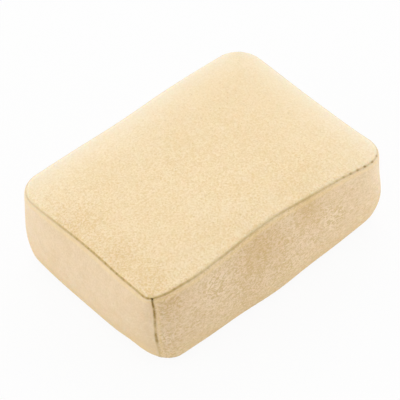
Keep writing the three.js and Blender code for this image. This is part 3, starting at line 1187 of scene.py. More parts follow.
        # Painted shade along the corner seam, darkest where it gapes, and a painted highlight on the
        # rim beside it.
        crease_shade = 1 - gentle(*self.corner_crease_reach, np.abs(aside))
        crease_shade *= (depth > 0) & (depth < self.corner_crease_end)
        shown = self.corner_crease_share + (1 - self.corner_crease_share) * gaping
        marks.add(crease_shade * shown, crease_shade * gaping, self._rim_highlight(depth, aside * corner.value))
        return bridge[:, None] * np.array([HALF_DIAGONAL, HALF_DIAGONAL, 0]) * corner.value

    def _between_folds(self, from_contact: np.ndarray, aside: np.ndarray) -> np.ndarray:
        """1 where the two folds of a seam touch, nothing away from there."""
        return peak(from_contact, self.bridge_depth) * peak(aside, self.bridge_width)

    def _rim_highlight(self, depth: np.ndarray, aside: np.ndarray) -> np.ndarray:
        """How much painted highlight a vertex gets on the rim beside a seam, from 0 to 1.

        Args:
            depth: distance from the edge, along the seam plane.
            aside: distance from the seam plane, above zero on the side that gets the highlight.

        Returns:
            One share a vertex.
        """
        rim = gentle(*self.rim_start, aside) * (1 - gentle(*self.rim_end, aside))
        return rim * (1 - gentle(*self.rim_depth, depth))

    def _note_looks(
        self, piece: bpy.types.Object, laid: np.ndarray, marks: SeamMarks, is_strip: bool
    ) -> None:
        """Notes with each vertex what the suede shows there.

        Args:
            piece: the piece.
            laid: rows of x, y, z on the box.
            marks: the marks of its seams.
            is_strip: whether the piece is a side strip.
        """
        x, y, z = laid.T
        # The strips get darker spots, and a painted highlight on the seam rims and, for light bounced
        # from the table, on the lower edges.
        if is_strip:
            darkening = near_any(self.darker_spots, laid)
            calm = 1 - self.rough_middle.nearness(laid)
            painted_highlight = np.maximum(marks.rim, peak(z, self.bounce_height))
        else:
            brushed = near_any(self.brushed_up, laid)
            far = gentle(*self.far_shares, x / BOX.half_length + y / BOX.half_width)
            darkening = self.brushed_darkening * brushed
            calm = self.calm_share * (1 - brushed) + (1 - self.calm_share) * far
            painted_highlight = marks.rim
        # A painted glow, fading inwards from the far upper edges, stands for grazing back light and
        # sheen.
        from_far = np.clip(np.minimum(BOX.half_length - x, BOX.half_width - y), 0, None)
        painted_glow = np.exp(-from_far / self.glow_reach) * gentle(*self.glow_shares, z / BOX.height)
        note(piece, "calm", calm)
        note(piece, "painted_glow", painted_glow)
        note(piece, "crease_shade", marks.crease_shade)
        note(piece, "hole_shade", marks.hole_shade)
        note(piece, "painted_highlight", painted_highlight)
        note(piece, "scuff", near_any(self.scuffs, laid))
        note(piece, "darkening", darkening)


# Foam


@dataclass
class FoamBlock:
    """The foam that fills the cover, slit round both edges for the seam allowances."""

    stuffing: Stuffing
    clearance: float = 0.3 * MM
    # The slits lie in the seam planes, and the slots in the two sewn corners.
    slit_offset: float = 1.9 * MM
    slit_depth: float = 8.35 * MM
    slot_depth: float = 4.6 * MM
    slot_half_width: float = 1.5 * MM
    # How far the swept rim reaches in, the rows of faces on half the side, and the smoothing.
    ring_reach: float = 9.4 * MM
    face_rows: int = 7
    levels: int = 1

    def build(self) -> bpy.types.Object:
        """Sweeps the foam's side with its two slits, closes top and bottom, and stuffs it.

        Returns:
            The foam.
        """
        skin = SEAM.leather + self.clearance
        lip = -skin - self.slit_offset / HALF_DIAGONAL
        near = (-self.slit_depth - self.slit_offset) * HALF_DIAGONAL
        far = (-self.slit_depth + self.slit_offset) * HALF_DIAGONAL
        upper = [(-self.ring_reach, -skin), (lip, -skin), (near, far), (far, near), (-skin, lip)]
        step = (BOX.height / 2 + lip) / self.face_rows
        section = list(upper)
        section += [(-skin, lip - row * step) for row in range(1, 2 * self.face_rows)]
        section += [(out, -rise - BOX.height) for out, rise in reversed(upper)]
        piece = sweep_rim("foam_block", section)
        fill_middle(piece, BOX.height - skin)
        fill_middle(piece, skin)
        finish_mesh(piece, Vector((0, 0, BOX.height - skin)), Vector((0, 0, 1)))
        put(piece, self.stuffing.fill(self._slotted(places(piece))))
        apply_modifier(piece, "SUBSURF", levels=self.levels, render_levels=self.levels)
        return smooth_shaded(piece)

    def _slotted(self, points: np.ndarray) -> np.ndarray:
        """Presses a slot into the two sewn corners, where the strips' ends are turned in.

        Args:
            points: rows of x, y, z on the box.

        Returns:
            The same rows, with the slots.
        """
        moved = points.copy()
        floor = BOX.corner_radius - SEAM.leather - self.slot_depth
        for corner in Corner:
            x, y = BOX.from_corner(points, corner)
            radius = np.hypot(x, y)
            in_slot = (x > 0) & (y > 0) & (np.abs(x - y) * HALF_DIAGONAL < self.slot_half_width)
            press = np.clip(radius - floor, 0, None) * in_slot
            away = np.column_stack([x, y]) / np.maximum(radius, TINY)[:, None] * corner.value
            moved[:, :2] -= away * press[:, None]
        return moved


# Stitches


@dataclass
class Stitching:
    """The sewing threads, each a real path of stitches in and out of the leather."""

    stuffing: Stuffing
    cover: LeatherCover
    radius: float = 0.25 * MM
    # Between its holes a thread lies off the seam plane, and in a hole the two threads lock.
    offset: float = 1.15 * MM
    lock_gap: float = 0.2 * MM
    lock_bow: float = 0.4
    points_per_stitch: int = 8
    # Stitches lie this much deeper than the folds meet, and stop short of the next seam.
    inset: float = 0.9 * MM
    corner_notch: float = 2 * MM
    # The opening for the foam, and the whip stitches that close it.
    opening: float = 60 * MM
    closing_pitch: float = 5 * MM
    closing_width: float = 2 * MM
    closing_clearance: float = 0.15 * MM

    def _lock(self, share: np.ndarray) -> np.ndarray:
        """Distance of a thread from the seam plane along its stitches, pulled in at each hole."""
        bow = np.abs(np.sin(math.pi * share)) ** self.lock_bow
        return self.lock_gap + (self.offset - self.lock_gap) * bow

    def _tube(self, name: str, path: np.ndarray, closed: bool) -> bpy.types.Object:
        """Makes a round thread along a path on the box, and stuffs it with the leather.

        Args:
            name: name of the piece.
            path: rows of x, y, z on the box.
            closed: whether the thread's end meets its start.

        Returns:
            The thread, as a mesh.
        """
        path = self.stuffing.fill(path)
        curve = bpy.data.curves.new(name, "CURVE")
        curve.dimensions = "3D"
        curve.bevel_depth = self.radius
        curve.bevel_resolution = 1
        curve.use_fill_caps = not closed
        spline = curve.splines.new("POLY")
        spline.points.add(len(path) - 1)
        spline.points.foreach_set("co", np.column_stack([path, np.ones(len(path))]).ravel())
        spline.use_cyclic_u = closed
        piece = bpy.data.objects.new(name, curve)
        bpy.context.scene.collection.objects.link(piece)
        work_on(piece)
        bpy.ops.object.convert(target="MESH")
        piece = bpy.context.object
        bpy.ops.object.mode_set(mode="EDIT")
        bpy.ops.mesh.select_all(action="SELECT")
        bpy.ops.mesh.remove_doubles(threshold=TINY)
        bpy.ops.mesh.normals_make_consistent(inside=False)
        bpy.ops.object.mode_set(mode="OBJECT")
        return smooth_shaded(piece)

    def _round_place(self, station: np.ndarray, out: np.ndarray) -> np.ndarray:
        """Places along the pad's outline: the reverse of the box's station().

        Args:
            station: how far along the seam each place is.
            out: how far outside the box's side each place is.

        Returns:
            Rows of x, y, z, at no height.
        """
        found = []
        for along, outward in zip(station % BOX.seam_length, out):
            turn = 0
            straight, side = 2 * BOX.corner_x, BOX.corner_y
            while along > straight + BOX.seam_arc:
                along -= straight + BOX.seam_arc
                turn += 1
                straight, side = 2 * side, straight / 2
            past = max(0.0, along - straight) / BOX.seam_arc * RIGHT_ANGLE
            reach = BOX.corner_radius + outward
            x = min(along, straight) - straight / 2 + reach * math.sin(past)
            y = -side - reach * math.cos(past)
            found.append(Matrix.Rotation(turn * RIGHT_ANGLE, 3, "Z") @ Vector((x, y, 0)))
        return np.array(found)

    def seam(self, name: str, edge: Edge, side: Sewn) -> bpy.types.Object:
        """One thread of the seam round the top or the base.

        Args:
            name: name of the piece.
            edge: which seam.
            side: the leather that the thread lies on.

        Returns:
            The thread.
        """
        whole = edge is Edge.TOP
        steps = self.cover.stitches * self.points_per_stitch
        station = np.arange(steps) / steps * BOX.seam_length
        if not whole:
            back_middle = 3 * BOX.corner_x + 2 * BOX.corner_y + 2 * BOX.seam_arc
            sewn = BOX.seam_length - self.opening
            station = back_middle + self.opening / 2 + np.linspace(0, sewn, steps)
        share = station / BOX.seam_length * self.cover.stitches
        aside = self._lock(share) * side.value
        depth = SEAM.depth + self.inset
        rise = (-depth - aside) * HALF_DIAGONAL
        path = self._round_place(station, (-depth + aside) * HALF_DIAGONAL)
        path[:, 2] = BOX.height + rise if whole else -rise
        return self._tube(name, path, whole)

    def upright(self, name: str, corner: Corner, side: int) -> bpy.types.Object:
        """One thread of an upright corner seam.

        Args:
            name: name of the piece.
            corner: which seam.
            side: 1 or -1, the strip that the thread lies on.

        Returns:
            The thread.
        """
        end = SEAM.setback + self.corner_notch + self.inset
        length = BOX.height - 2 * end
        stitches = round(length / self.cover.corner_pitch)
        share = np.arange(stitches * self.points_per_stitch + 1) / self.points_per_stitch
        reach = BOX.corner_radius - SEAM.fold_radius - self.inset
        aside = self._lock(share) * side
        x = BOX.corner_x + (reach - aside) * HALF_DIAGONAL
        y = BOX.corner_y + (reach + aside) * HALF_DIAGONAL
        height = end + share / stitches * length
        path = np.column_stack([x * corner.value, y * corner.value, height])
        return self._tube(name, path, False)

    def closing(self) -> bpy.types.Object:
        """The hand-sewn thread that whips the opening of the bottom seam shut.

        Returns:
            The thread.
        """
        stitches = round(self.opening / self.closing_pitch)
        share = np.linspace(0, stitches, stitches * self.points_per_stitch + 1)
        aside = np.cos(2 * math.pi * share) * self.closing_width / 2
        contact = SEAM.fold_radius + self.closing_clearance + self.radius
        depth = SEAM.depth - np.sqrt(contact**2 - (SEAM.offset - np.abs(aside)) ** 2)
        x = self.opening * (share / stitches - 0.5)
        out = (-depth + aside) * HALF_DIAGONAL
        path = np.column_stack([x, BOX.half_width + out, (depth + aside) * HALF_DIAGONAL])
        return self._tube("closing_whip_stitch", path, False)


# Materials


def linear(colour: str) -> tuple[float, float, float, float]:
    """Turns an sRGB hex colour such as f3dbb2 to linear values with full alpha.

    Args:
        colour: six hex digits.

    Returns:
        Red, green, blue and alpha.
    """
    parts = [int(colour[place : place + 2], 16) / 255 for place in (0, 2, 4)]
    values = [part / 12.92 if part <= 0.04045 else ((part + 0.055) / 1.055) ** 2.4 for part in parts]
    return (*values, 1.0)


def add_node(
    tree: bpy.types.NodeTree, kind: str, inputs: dict | None = None, **settings: object
) -> bpy.types.Node:
    """Adds a shader node with its settings, and sets or links its inputs.

    Args:
        tree: the material's node tree.
        kind: Blender's name of the node.
        inputs: values or output sockets, by input name or number.
        settings: the node's own properties.

    Returns:
        The node.
    """
    node = tree.nodes.new(kind)
    for name, value in settings.items():
        setattr(node, name, value)
    for name, value in (inputs or {}).items():
        if isinstance(value, bpy.types.NodeSocket):
            tree.links.new(value, node.inputs[name])
        else:
            node.inputs[name].default_value = value
    return node


def new_material(name: str) -> tuple[bpy.types.Material, bpy.types.NodeTree]:
    """Makes an empty node material.

    Args:
        name: name of the material.

    Returns:
        The material and its tree.
    """
    material = bpy.data.materials.new(name)
    material.use_nodes = True
    material.node_tree.nodes.clear()
    return material, material.node_tree


# The noise patterns vary about this tone.
MIDDLE_TONE = 0.5


@dataclass(frozen=True)
class Grain:
    """A noise pattern: the width of its soft spots, and how fine, rough and curled it is."""

    size: float
    detail: float
    roughness: float
    curl: float = 0.0


@dataclass(frozen=True)
class Tint:
    """A colour painted over the suede where a note on the mesh says so, ragged by its nap or not."""

    note: str
    share: float
    colour: str
    ragged: bool = False


@dataclass(frozen=True)
class ChamoisSuede:
    """Oil-tanned sheep leather, split and buffed to a suede.

    Buffing leaves a short matt nap. It has no shine but a pale bloom where it is seen along the
    surface, and soft clouds where it was brushed one way or the other. Light goes a little way in.
    """

    name: str
    light: str
    shade: str
    # A fibre is about 0.02 mm thick, too fine for the render, so tufts of nap are drawn instead.
    nap: Grain = Grain(0.8 * MM, 3, 0.6, 0.6)
    nap_share: float = 0.76
    nap_height: float = 0.2 * MM
    fibre_stretch: tuple[float, float, float] = (1.0, 1.0, 1.0)
    fibre_turn: tuple[float, float, float] = (0.0, 0.0, 0.0)
    # Clouds of brushed nap, and broad patches where the hide is thicker or thinner.
    cloud: Grain = Grain(4.5 * MM, 3, 0.55)
    patch: Grain = Grain(22 * MM, 2, 0.5)
    patch_share: float = 0.5
    # Curled tufts where the leather is scuffed, and how much they lighten or darken it.
    curls: Grain = Grain(1.5 * MM, 2, 0.5, 3.0)
    curl_relief: float = 0.35
    curl_range: tuple[float, float] = (0.3, 0.7)
    # Pits in the hide, drawn larger than the real pores so that they show.
    specks: Grain = Grain(1.28 * MM, 2, 0.7)
    speck_range: tuple[float, float] = (0.36, 0.28)
    pit: str = "c9a468"
    pits: float = 0.35
    # How far the tone spreads from the middle, how much calm places flatten it, and its relief.
    contrast: float = 0.14
    calming: float = 0.0
    relief: float = 0.5
    # Darker spots, a painted glow on the far edges, a painted highlight on the seam rims and lower
    # edges, and painted shade in the seams' creases and stitch holes.
    tints: tuple[Tint, ...] = (
        Tint("darkening", 0.35, "c9a468"),
        Tint("painted_glow", 0.7, "fff4e2"),
        Tint("painted_highlight", 0.3, "f9dca0"),
        Tint("crease_shade", 0.8, "b89a50", ragged=True),
        Tint("hole_shade", 1.0, "94763a", ragged=True),
    )
    ragged_range: tuple[float, float] = (0.4, 0.6)
    ragged_shares: tuple[float, float] = (0.55, 1.15)
    roughness: float = 0.95
    specular: float = 0.15
    sheen: float = 0.3
    sheen_roughness: float = 0.4
    sheen_tint: str = "ffdca0"
    translucence: float = 0.35
    light_depth: float = 0.9 * MM
    light_shares: tuple[float, float, float] = (1.0, 0.6, 0.3)

    def make(self) -> bpy.types.Material:
        """Builds the node material.

        Returns:
            The material.
        """
        material, tree = new_material(self.name)
        grains = self._grains(tree)
        tone = self._tone(tree, grains)
        colour = self._colour(tree, grains, tone)
        bump = add_node(
            tree,
            "ShaderNodeBump",
            {"Strength": self.relief, "Distance": self.nap_height, "Height": tone},
        )
        shader = add_node(
            tree,
            "ShaderNodeBsdfPrincipled",
            {
                "Base Color": colour,
                "Roughness": self.roughness,
                "Specular IOR Level": self.specular,
                "Sheen Weight": self.sheen,
                "Sheen Roughness": self.sheen_roughness,
                "Sheen Tint": linear(self.sheen_tint),
                "Subsurface Weight": self.translucence,
                "Subsurface Radius": self.light_shares,
                "Subsurface Scale": self.light_depth,
                "Normal": bump.outputs["Normal"],
            },
        )
        add_node(tree, "ShaderNodeOutputMaterial", {"Surface": shader.outputs[0]})
        return material

    def _grains(self, tree: bpy.types.NodeTree) -> dict[str, bpy.types.NodeSocket]:
        """Adds the noise patterns, the nap and its curls along the lie of the fibres.

        Args:
            tree: the material's node tree.

        Returns:
            Each pattern by its name.
        """
        where = add_node(tree, "ShaderNodeTexCoord").outputs["Object"]
        lie = {"Vector": where, "Rotation": self.fibre_turn, "Scale": self.fibre_stretch}
        along = add_node(tree, "ShaderNodeMapping", lie).outputs["Vector"]
        found = {}
        for name, grain, vector in (
            ("nap", self.nap, along),
            ("cloud", self.cloud, where),
            ("patch", self.patch, where),
            ("curls", self.curls, along),
            ("specks", self.specks, where),
        ):
            inputs = {
                "Vector": vector,
                "Scale": 1 / grain.size,
                "Detail": grain.detail,
                "Roughness": grain.roughness,
                "Distortion": grain.curl,
            }
            found[name] = add_node(tree, "ShaderNodeTexNoise", inputs).outputs["Fac"]
        return found

    def _tone(
        self, tree: bpy.types.NodeTree, grains: dict[str, bpy.types.NodeSocket]
    ) -> bpy.types.NodeSocket:
        """Adds up how light the nap is: clouds, tufts, and curls where it is scuffed.

        Args:
            tree: the material's node tree.
            grains: the noise patterns.

        Returns:
            The tone, about the middle.
        """
        soft = {0: self.patch_share, 2: grains["cloud"], 3: grains["patch"]}
        soft = add_node(tree, "ShaderNodeMix", soft).outputs[0]
        napped = {0: self.nap_share, 2: soft, 3: grains["nap"]}
        napped = add_node(tree, "ShaderNodeMix", napped).outputs[0]
        low, high = self.curl_range
        most = self.curl_relief / 2
        curls = {"Value": grains["curls"], 1: low, 2: high, 3: -most, 4: most}
        curls = add_node(tree, "ShaderNodeMapRange", curls).outputs["Result"]
        scuff = add_node(tree, "ShaderNodeAttribute", attribute_name="scuff").outputs["Fac"]
        scuffed = {0: scuff, 1: curls, 2: napped}
        tone = add_node(tree, "ShaderNodeMath", scuffed, operation="MULTIPLY_ADD").outputs[0]
        calm = add_node(tree, "ShaderNodeAttribute", attribute_name="calm").outputs["Fac"]
        calm = add_node(tree, "ShaderNodeMapRange", {"Value": calm, 4: self.calming}).outputs[0]
        return add_node(tree, "ShaderNodeMix", {0: calm, 2: tone, 3: MIDDLE_TONE}).outputs[0]

    def _colour(
        self,
        tree: bpy.types.NodeTree,
        grains: dict[str, bpy.types.NodeSocket],
        tone: bpy.types.NodeSocket,
    ) -> bpy.types.NodeSocket:
        """Turns the tone to a colour, and lays pits and the tints of the notes over it.

        Args:
            tree: the material's node tree.
            grains: the noise patterns.
            tone: how light the nap is.

        Returns:
            The colour.
        """
        spread = {"Value": tone, 1: MIDDLE_TONE - self.contrast, 2: MIDDLE_TONE + self.contrast}
        share = add_node(tree, "ShaderNodeMapRange", spread, interpolation_type="SMOOTHSTEP").outputs[0]
        low, high = self.speck_range
        pitted = {"Value": grains["specks"], 1: low, 2: high, 4: self.pits}
        pitted = add_node(tree, "ShaderNodeMapRange", pitted).outputs[0]
        low, high = self.ragged_range
        least, most = self.ragged_shares
        ragged = {"Value": grains["nap"], 1: low, 2: high, 3: least, 4: most}
        ragged = add_node(tree, "ShaderNodeMapRange", ragged).outputs[0]
        layers = [(share, linear(self.light)), (pitted, linear(self.pit))]
        for tint in self.tints:
            mark = add_node(tree, "ShaderNodeAttribute", attribute_name=tint.note).outputs["Fac"]
            mark = add_node(tree, "ShaderNodeMapRange", {"Value": mark, 4: tint.share}).outputs[0]
            if tint.ragged:
                both = {0: mark, 1: ragged}
                mark = add_node(tree, "ShaderNodeMath", both, operation="MULTIPLY").outputs[0]
            layers.append((mark, linear(tint.colour)))
        colour = linear(self.shade)
        for cover, paint in layers:
            laid_over = {0: cover, 6: colour, 7: paint}
            colour = add_node(tree, "ShaderNodeMix", laid_over, data_type="RGBA").outputs[2]
        return colour


PANEL_SUEDE = ChamoisSuede(
    "Chamois leather, panels", "fde6c4", "eed1a0", contrast=0.073, relief=1.0, calming=0.7
)
FRONT_SUEDE = ChamoisSuede(
    "Chamois leather, rough front strip",
    "f3dabb",
    "dbbf90",
    nap=Grain(0.72 * MM, 3, 0.6, 1.2),
    fibre_stretch=(0.5, 1.0, 1.0),
    fibre_turn=(0.0, 0.3, 0.0),
    curls=Grain(2 * MM, 2, 0.5, 3.0),
    curl_relief=1.2,
    specks=Grain(1.152 * MM, 2, 0.7),
    pits=0.5,
    contrast=0.074,
    calming=0.6,
)
BACK_SUEDE = ChamoisSuede(
    "Chamois leather, smooth back strip", "f0d8b9", "e4caa4", nap_share=0.55, pits=0.1
)


@dataclass(frozen=True)
class OpenCellFoam:
    """Slabstock polyurethane foam, cut with a knife.

    The cut opens its round cells, so that its face is matt and evenly speckled.
    """

    name: str = "Polyurethane foam"
    light: str = "efe3bf"
    shade: str = "c9b988"
    # Real cells are about 0.5 mm wide, and are drawn twice as wide so that they show.
    cell: float = 1.1 * MM
    cell_range: tuple[float, float] = (0.1, 0.7)
    cell_depth: float = 0.4 * MM
    relief: float = 0.7
    roughness: float = 1.0
    specular: float = 0.1

    def make(self) -> bpy.types.Material:
        """Builds the node material.

        Returns:
            The material.
        """
        material, tree = new_material(self.name)
        where = add_node(tree, "ShaderNodeTexCoord").outputs["Object"]
        cells = {"Vector": where, "Scale": 1 / self.cell}
        cells = add_node(tree, "ShaderNodeTexVoronoi", cells).outputs["Distance"]
        low, high = self.cell_range
        tone = {"Value": cells, 1: low, 2: high}
        tone = add_node(tree, "ShaderNodeMapRange", tone).outputs["Result"]
        colour = {0: tone, 6: linear(self.shade), 7: linear(self.light)}
        colour = add_node(tree, "ShaderNodeMix", colour, data_type="RGBA").outputs[2]
        pressed = {"Strength": self.relief, "Distance": self.cell_depth, "Height": cells}
        shader = add_node(
            tree,
            "ShaderNodeBsdfPrincipled",
            {
                "Base Color": colour,
                "Roughness": self.roughness,
                "Specular IOR Level": self.specular,
                "Normal": add_node(tree, "ShaderNodeBump", pressed).outputs["Normal"],
            },
        )
        add_node(tree, "ShaderNodeOutputMaterial", {"Surface": shader.outputs[0]})
        return material


@dataclass(frozen=True)
class SpunThread:
    """Spun polyester sewing thread, twisted from plies and dyed tan.

    The twist gives short slanting bands of light and shade, and loose fibres a faint bloom.
    """

    name: str = "Spun polyester thread"
    light: str = "c9a468"
    shade: str = "94703c"
    # Real plies come round about every 0.5 mm, and are drawn wider so that they show.
    twist: float = 1.524 * MM
    # The wave texture's diagonal bands come round every 2 pi / (10 sqrt 3) at a scale of one.
    band: float = 2 * math.pi / (10 * math.sqrt(3))
    waviness: float = 1.5
    ply_depth: float = 0.1 * MM
    relief: float = 0.5
    roughness: float = 0.7
    sheen: float = 0.2

    def make(self) -> bpy.types.Material:
        """Builds the node material.

        Returns:
            The material.
        """
        material, tree = new_material(self.name)
        where = add_node(tree, "ShaderNodeTexCoord").outputs["Object"]
        plies = {"Vector": where, "Scale": self.band / self.twist, "Distortion": self.waviness}
        plies = add_node(tree, "ShaderNodeTexWave", plies, bands_direction="DIAGONAL").outputs["Fac"]
        colour = {0: plies, 6: linear(self.shade), 7: linear(self.light)}
        colour = add_node(tree, "ShaderNodeMix", colour, data_type="RGBA").outputs[2]
        raised = {"Strength": self.relief, "Distance": self.ply_depth, "Height": plies}
        shader = add_node(
            tree,
            "ShaderNodeBsdfPrincipled",
            {
                "Base Color": colour,
                "Roughness": self.roughness,
                "Sheen Weight": self.sheen,
                "Normal": add_node(tree, "ShaderNodeBump", raised).outputs["Normal"],
            },
        )
        add_node(tree, "ShaderNodeOutputMaterial", {"Surface": shader.outputs[0]})
        return material


# Studio


@dataclass(frozen=True)
class SoftBox:
    """A square soft lamp that looks at the pad."""

    name: str
    place: tuple[float, float, float]
    size: float
    power: float

    def hang(self) -> None:
        """Hangs the lamp at its place."""
        data = bpy.data.lights.new(self.name, "AREA")
        data.shape = "SQUARE"
        data.size = self.size
        data.energy = self.power
        lamp = bpy.data.objects.new(self.name, data)
        lamp.location = self.place
        lamp.rotation_euler = Vector(self.place).to_track_quat("Z", "Y").to_euler()
        bpy.context.scene.collection.objects.link(lamp)


@dataclass(frozen=True)
class Studio:
    """A white sweep under even light, three soft lamps, and the camera."""

    # The camera: where it stands from the pad's middle, its lens, and the pad's place in the frame.
    azimuth: float = -42.06
    elevation: float = 45.46
    distance: float = 1.148
    sensor: float = 36.0
    focal_pixels: float = 2815.5
    frame_pixels: float = 400.0
    right_of_middle: float = -0.765
    below_middle: float = 0.633
    clipping: tuple[float, float] = (0.05, 20.0)
    # The floor is mostly its own white, so that it is as plain as paper and keeps a faint shadow.
    floor_size: float = 6.0
    floor_colour: str = "eaeaea"
    floor_glow: float = 0.92
    ambient: float = 0.765
    lamps: tuple[SoftBox, ...] = (
        SoftBox("key_softbox", (-0.85, 0.3, 0.4), 0.7, 2.5),
        SoftBox("back_softbox", (0.6, 0.7, 0.5), 0.8, 3.6),
        SoftBox("low_fill_softbox", (0.26, -0.28, 0.09), 0.18, 0.27),
    )

    def place_camera(self) -> None:
        """Puts the camera where the photograph's three faces and their lengths ask for it."""
        turn, rise = math.radians(self.azimuth), math.radians(self.elevation)
        right = Vector((math.cos(turn), math.sin(turn), 0))
        level = Vector((math.sin(turn), -math.cos(turn), 0))
        back = level * math.cos(rise) + Vector((0, 0, math.sin(rise)))
        up = back.cross(right)
        aside = up * self.below_middle - right * self.right_of_middle
        aim = Vector((0, 0, (CAD_BOX[1][2] + CAD_BOX[0][2]) / 2))
        aim += aside * self.distance / self.focal_pixels
        data = bpy.data.cameras.new("photo_camera")
        data.sensor_width = self.sensor
        data.lens = self.sensor * self.focal_pixels / self.frame_pixels
        data.clip_start, data.clip_end = self.clipping
        camera = bpy.data.objects.new("photo_camera", data)
        turned = Matrix((right, up, back)).transposed().to_4x4()
        camera.matrix_world = Matrix.Translation(aim + back * self.distance) @ turned
        bpy.context.scene.collection.objects.link(camera)
        bpy.context.scene.camera = camera

    def lay_floor(self) -> None:
        """Lays a white floor that keeps the pad's soft shadow."""
        bpy.ops.object.select_all(action="DESELECT")
        bpy.ops.mesh.primitive_plane_add(size=self.floor_size, location=(0, 0, -TINY))
        floor = bpy.context.object
        floor.name = "studio_floor"
        material, tree = new_material("White paper sweep")
        path = add_node(tree, "ShaderNodeLightPath").outputs
        seen = path["Is Camera Ray"]
        for ray in ("Is Glossy Ray", "Is Transmission Ray"):
            either = {0: seen, 1: path[ray]}
            seen = add_node(tree, "ShaderNodeMath", either, operation="MAXIMUM").outputs[0]
        share = {0: seen, 1: self.floor_glow}
        share = add_node(tree, "ShaderNodeMath", share, operation="MULTIPLY").outputs[0]
        paper = add_node(tree, "ShaderNodeBsdfDiffuse", {"Color": linear(self.floor_colour)})
        glow = add_node(tree, "ShaderNodeEmission")
        both = {0: share, 1: paper.outputs[0], 2: glow.outputs[0]}
        both = add_node(tree, "ShaderNodeMixShader", both).outputs[0]
        add_node(tree, "ShaderNodeOutputMaterial", {"Surface": both})
        floor.data.materials.append(material)

    def light(self) -> None:
        """Puts the pad in even white surroundings, and hangs the lamps.

        The camera sees the surroundings as plain white, and the pad gets the ambient share of it.
        """
        world = bpy.data.worlds.new("white_studio")
        bpy.context.scene.world = world
        world.use_nodes = True
        tree = world.node_tree
        tree.nodes.clear()
        path = add_node(tree, "ShaderNodeLightPath").outputs
        either = {0: path["Is Camera Ray"], 1: path["Is Transmission Ray"]}
        seen = add_node(tree, "ShaderNodeMath", either, operation="MAXIMUM").outputs[0]
        strength = {"Value": seen, 3: self.ambient, 4: 1.0}
        strength = add_node(tree, "ShaderNodeMapRange", strength).outputs["Result"]
        white = {"Color": linear("ffffff"), "Strength": strength}
        sky = add_node(tree, "ShaderNodeBackground", white).outputs[0]
        add_node(tree, "ShaderNodeOutputWorld", {"Surface": sky})
        for lamp in self.lamps:
            lamp.hang()


# The pad


STROKES = (
    # The seam above the front side sits back from the edge, most at the middle of the side.
    Stroke((-0.5, -1, 1), 20, (0, 1, 0)),
    Stroke((0, -1, 1), 20, (0, 2.5, 1)),
    Stroke((0.5, -1, 1), 20, (0, 1.5, 0.5)),
    # The far side and the right end are a little higher, and the left corner is drawn in.
    Stroke((0.95, 0.92, 1), 24, (0, 0, 1)),
    Stroke((0.35, 1, 1), 24, (0, 0, 2)),
    Stroke((-0.95, 0.92, 1), 24, (0.5, -1.5, -0.5)),
    Stroke((-1, 0, 1), 24, (1, 0, 0.5)),
    # The front side stands upright down to the table, where the other sides tuck in.
    Stroke((-0.95, -0.92, 0), 22, (-0.5, -3, 0)),
    Stroke((-0.5, -1, 0), 20, (0, -2.5, -0.5)),
    Stroke((0, -1, 0), 20, (0, -3.5, 0)),
    Stroke((0.5, -1, 0), 20, (0, -1.5, 0)),
    Stroke((0.95, -0.92, 0), 22, (4, 0.5, 0.5)),
    Stroke((-0.95, 0.92, 0), 22, (1, -0.5, 0)),
    # The upright corners at the right and the left.
    Stroke((0.98, -0.95, 0.5), 16, (0.5, -2, 0)),
    Stroke((-0.98, 0.95, 0.5), 16, (1, 1.5, 0)),
    Stroke((0.96, -0.94, 1), 9, (1, -0.5, 0)),
    # The near corner, where three seams meet, is tight above and blunt below.
    Stroke((-0.94, -0.91, 1), 6, (-1.5, 0.5, 0)),
    Stroke((-1, -0.75, 1), 7, (0.5, -2, 0)),
    Stroke((-0.82, -1, 1), 8, (0, 1, 0.5)),
    Stroke((-1, -0.7, 0.1), 10, (0.3, 2.5, 1.6)),
    Stroke((-0.86, -1, 0.05), 7, (0, -0.8, 0)),
    Stroke((-0.95, -0.92, 0.55), 9, (-1, 0, 0)),
    Stroke((-0.95, -0.92, 0.2), 9, (0, 0.5, 0)),
    # Two soft dents in the top, from handling.
    Stroke((0.6, 0.39, 1), 6, (0, 0, -0.6)),
    Stroke((0.44, 0.75, 1), 5, (0, 0, -0.4)),
)


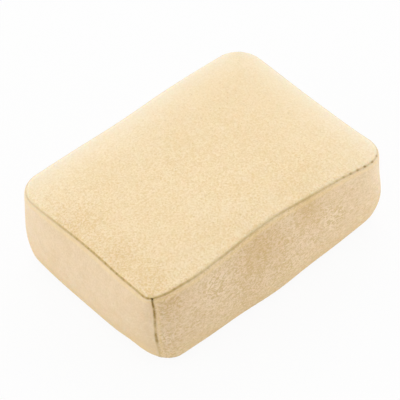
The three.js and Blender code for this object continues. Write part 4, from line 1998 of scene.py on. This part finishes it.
@dataclass
class ChamoisPad:
    """The whole pad: foam, leather and threads, each declared to the frame."""

    stuffing: Stuffing = field(default_factory=lambda: Stuffing(strokes=STROKES))

    def build(self) -> None:
        """Builds the pieces in the order in which they are sewn, inside first."""
        self.stuffing.swell()
        cover = LeatherCover(self.stuffing)
        top = cover.top_panel()
        base = copy_of(top, "bottom_panel_leather", (1, 1, -1))
        front = cover.front_strip()
        back = copy_of(front, "back_strip_leather", (-1, -1, 1))
        foam = FoamBlock(self.stuffing).build()
        self._declare(foam, OpenCellFoam().make(), "foam_core")
        panel_suede = PANEL_SUEDE.make()
        front_suede, back_suede = FRONT_SUEDE.make(), BACK_SUEDE.make()
        for piece, suede, slot, node, flat in (
            (top, panel_suede, "chamois_leather", "top_panel", cover.panel_flat),
            (base, panel_suede, "chamois_leather", "bottom_panel", cover.panel_flat),
            (front, front_suede, "chamois_leather_side", "front_side_strip", cover.strip_flat),
            (back, back_suede, "chamois_leather_side", "back_side_strip", cover.strip_flat),
        ):
            cover.dress(piece)
            self._declare(piece, suede, node)
        self._sew(cover)

    def _sew(self, cover: LeatherCover) -> None:
        """Adds the threads of all seams.

        Args:
            cover: the leather that they hold together.
        """
        stitching = Stitching(self.stuffing, cover)
        thread = SpunThread().make()
        for edge, seam in ((Edge.TOP, "top"), (Edge.BASE, "bottom")):
            for side, kind in ((Sewn.PANEL, "needle"), (Sewn.STRIP, "bobbin")):
                piece = stitching.seam(f"{seam}_{kind}_stitches", edge, side)
                self._declare(piece, thread, f"{seam}_seam_{kind}_thread")
        for corner, place in ((Corner.NEAR, "near"), (Corner.FAR, "far")):
            for side, kind in ((1, "needle"), (-1, "bobbin")):
                piece = stitching.upright(f"{place}_{kind}_stitches", corner, side)
                self._declare(piece, thread, f"{place}_corner_{kind}_thread")
        self._declare(stitching.closing(), thread, "closing_thread")

    def _declare(
        self, piece: bpy.types.Object, material: bpy.types.Material, node: str
    ) -> None:
        """Gives a piece its material and tells the frame what it stands for.

        Args:
            piece: the finished piece.
            material: its material.
            node: the CAD node that the piece takes the place of.
        """
        piece.data.materials.clear()
        piece.data.materials.append(material)
        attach(piece, "root")
        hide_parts(node)
        triangles = sum(len(face.vertices) - 2 for face in piece.data.polygons)
        log.info("%s: %d triangles for %s", piece.name, triangles, node)


def main() -> None:
    """Builds the studio and the pad."""
    logging.basicConfig(level=logging.INFO, format="%(message)s")
    bpy.context.scene.view_settings.view_transform = "Standard"
    studio = Studio()
    studio.place_camera()
    studio.lay_floor()
    studio.light()
    ChamoisPad().build()


if __name__ == "__main__":
    main()
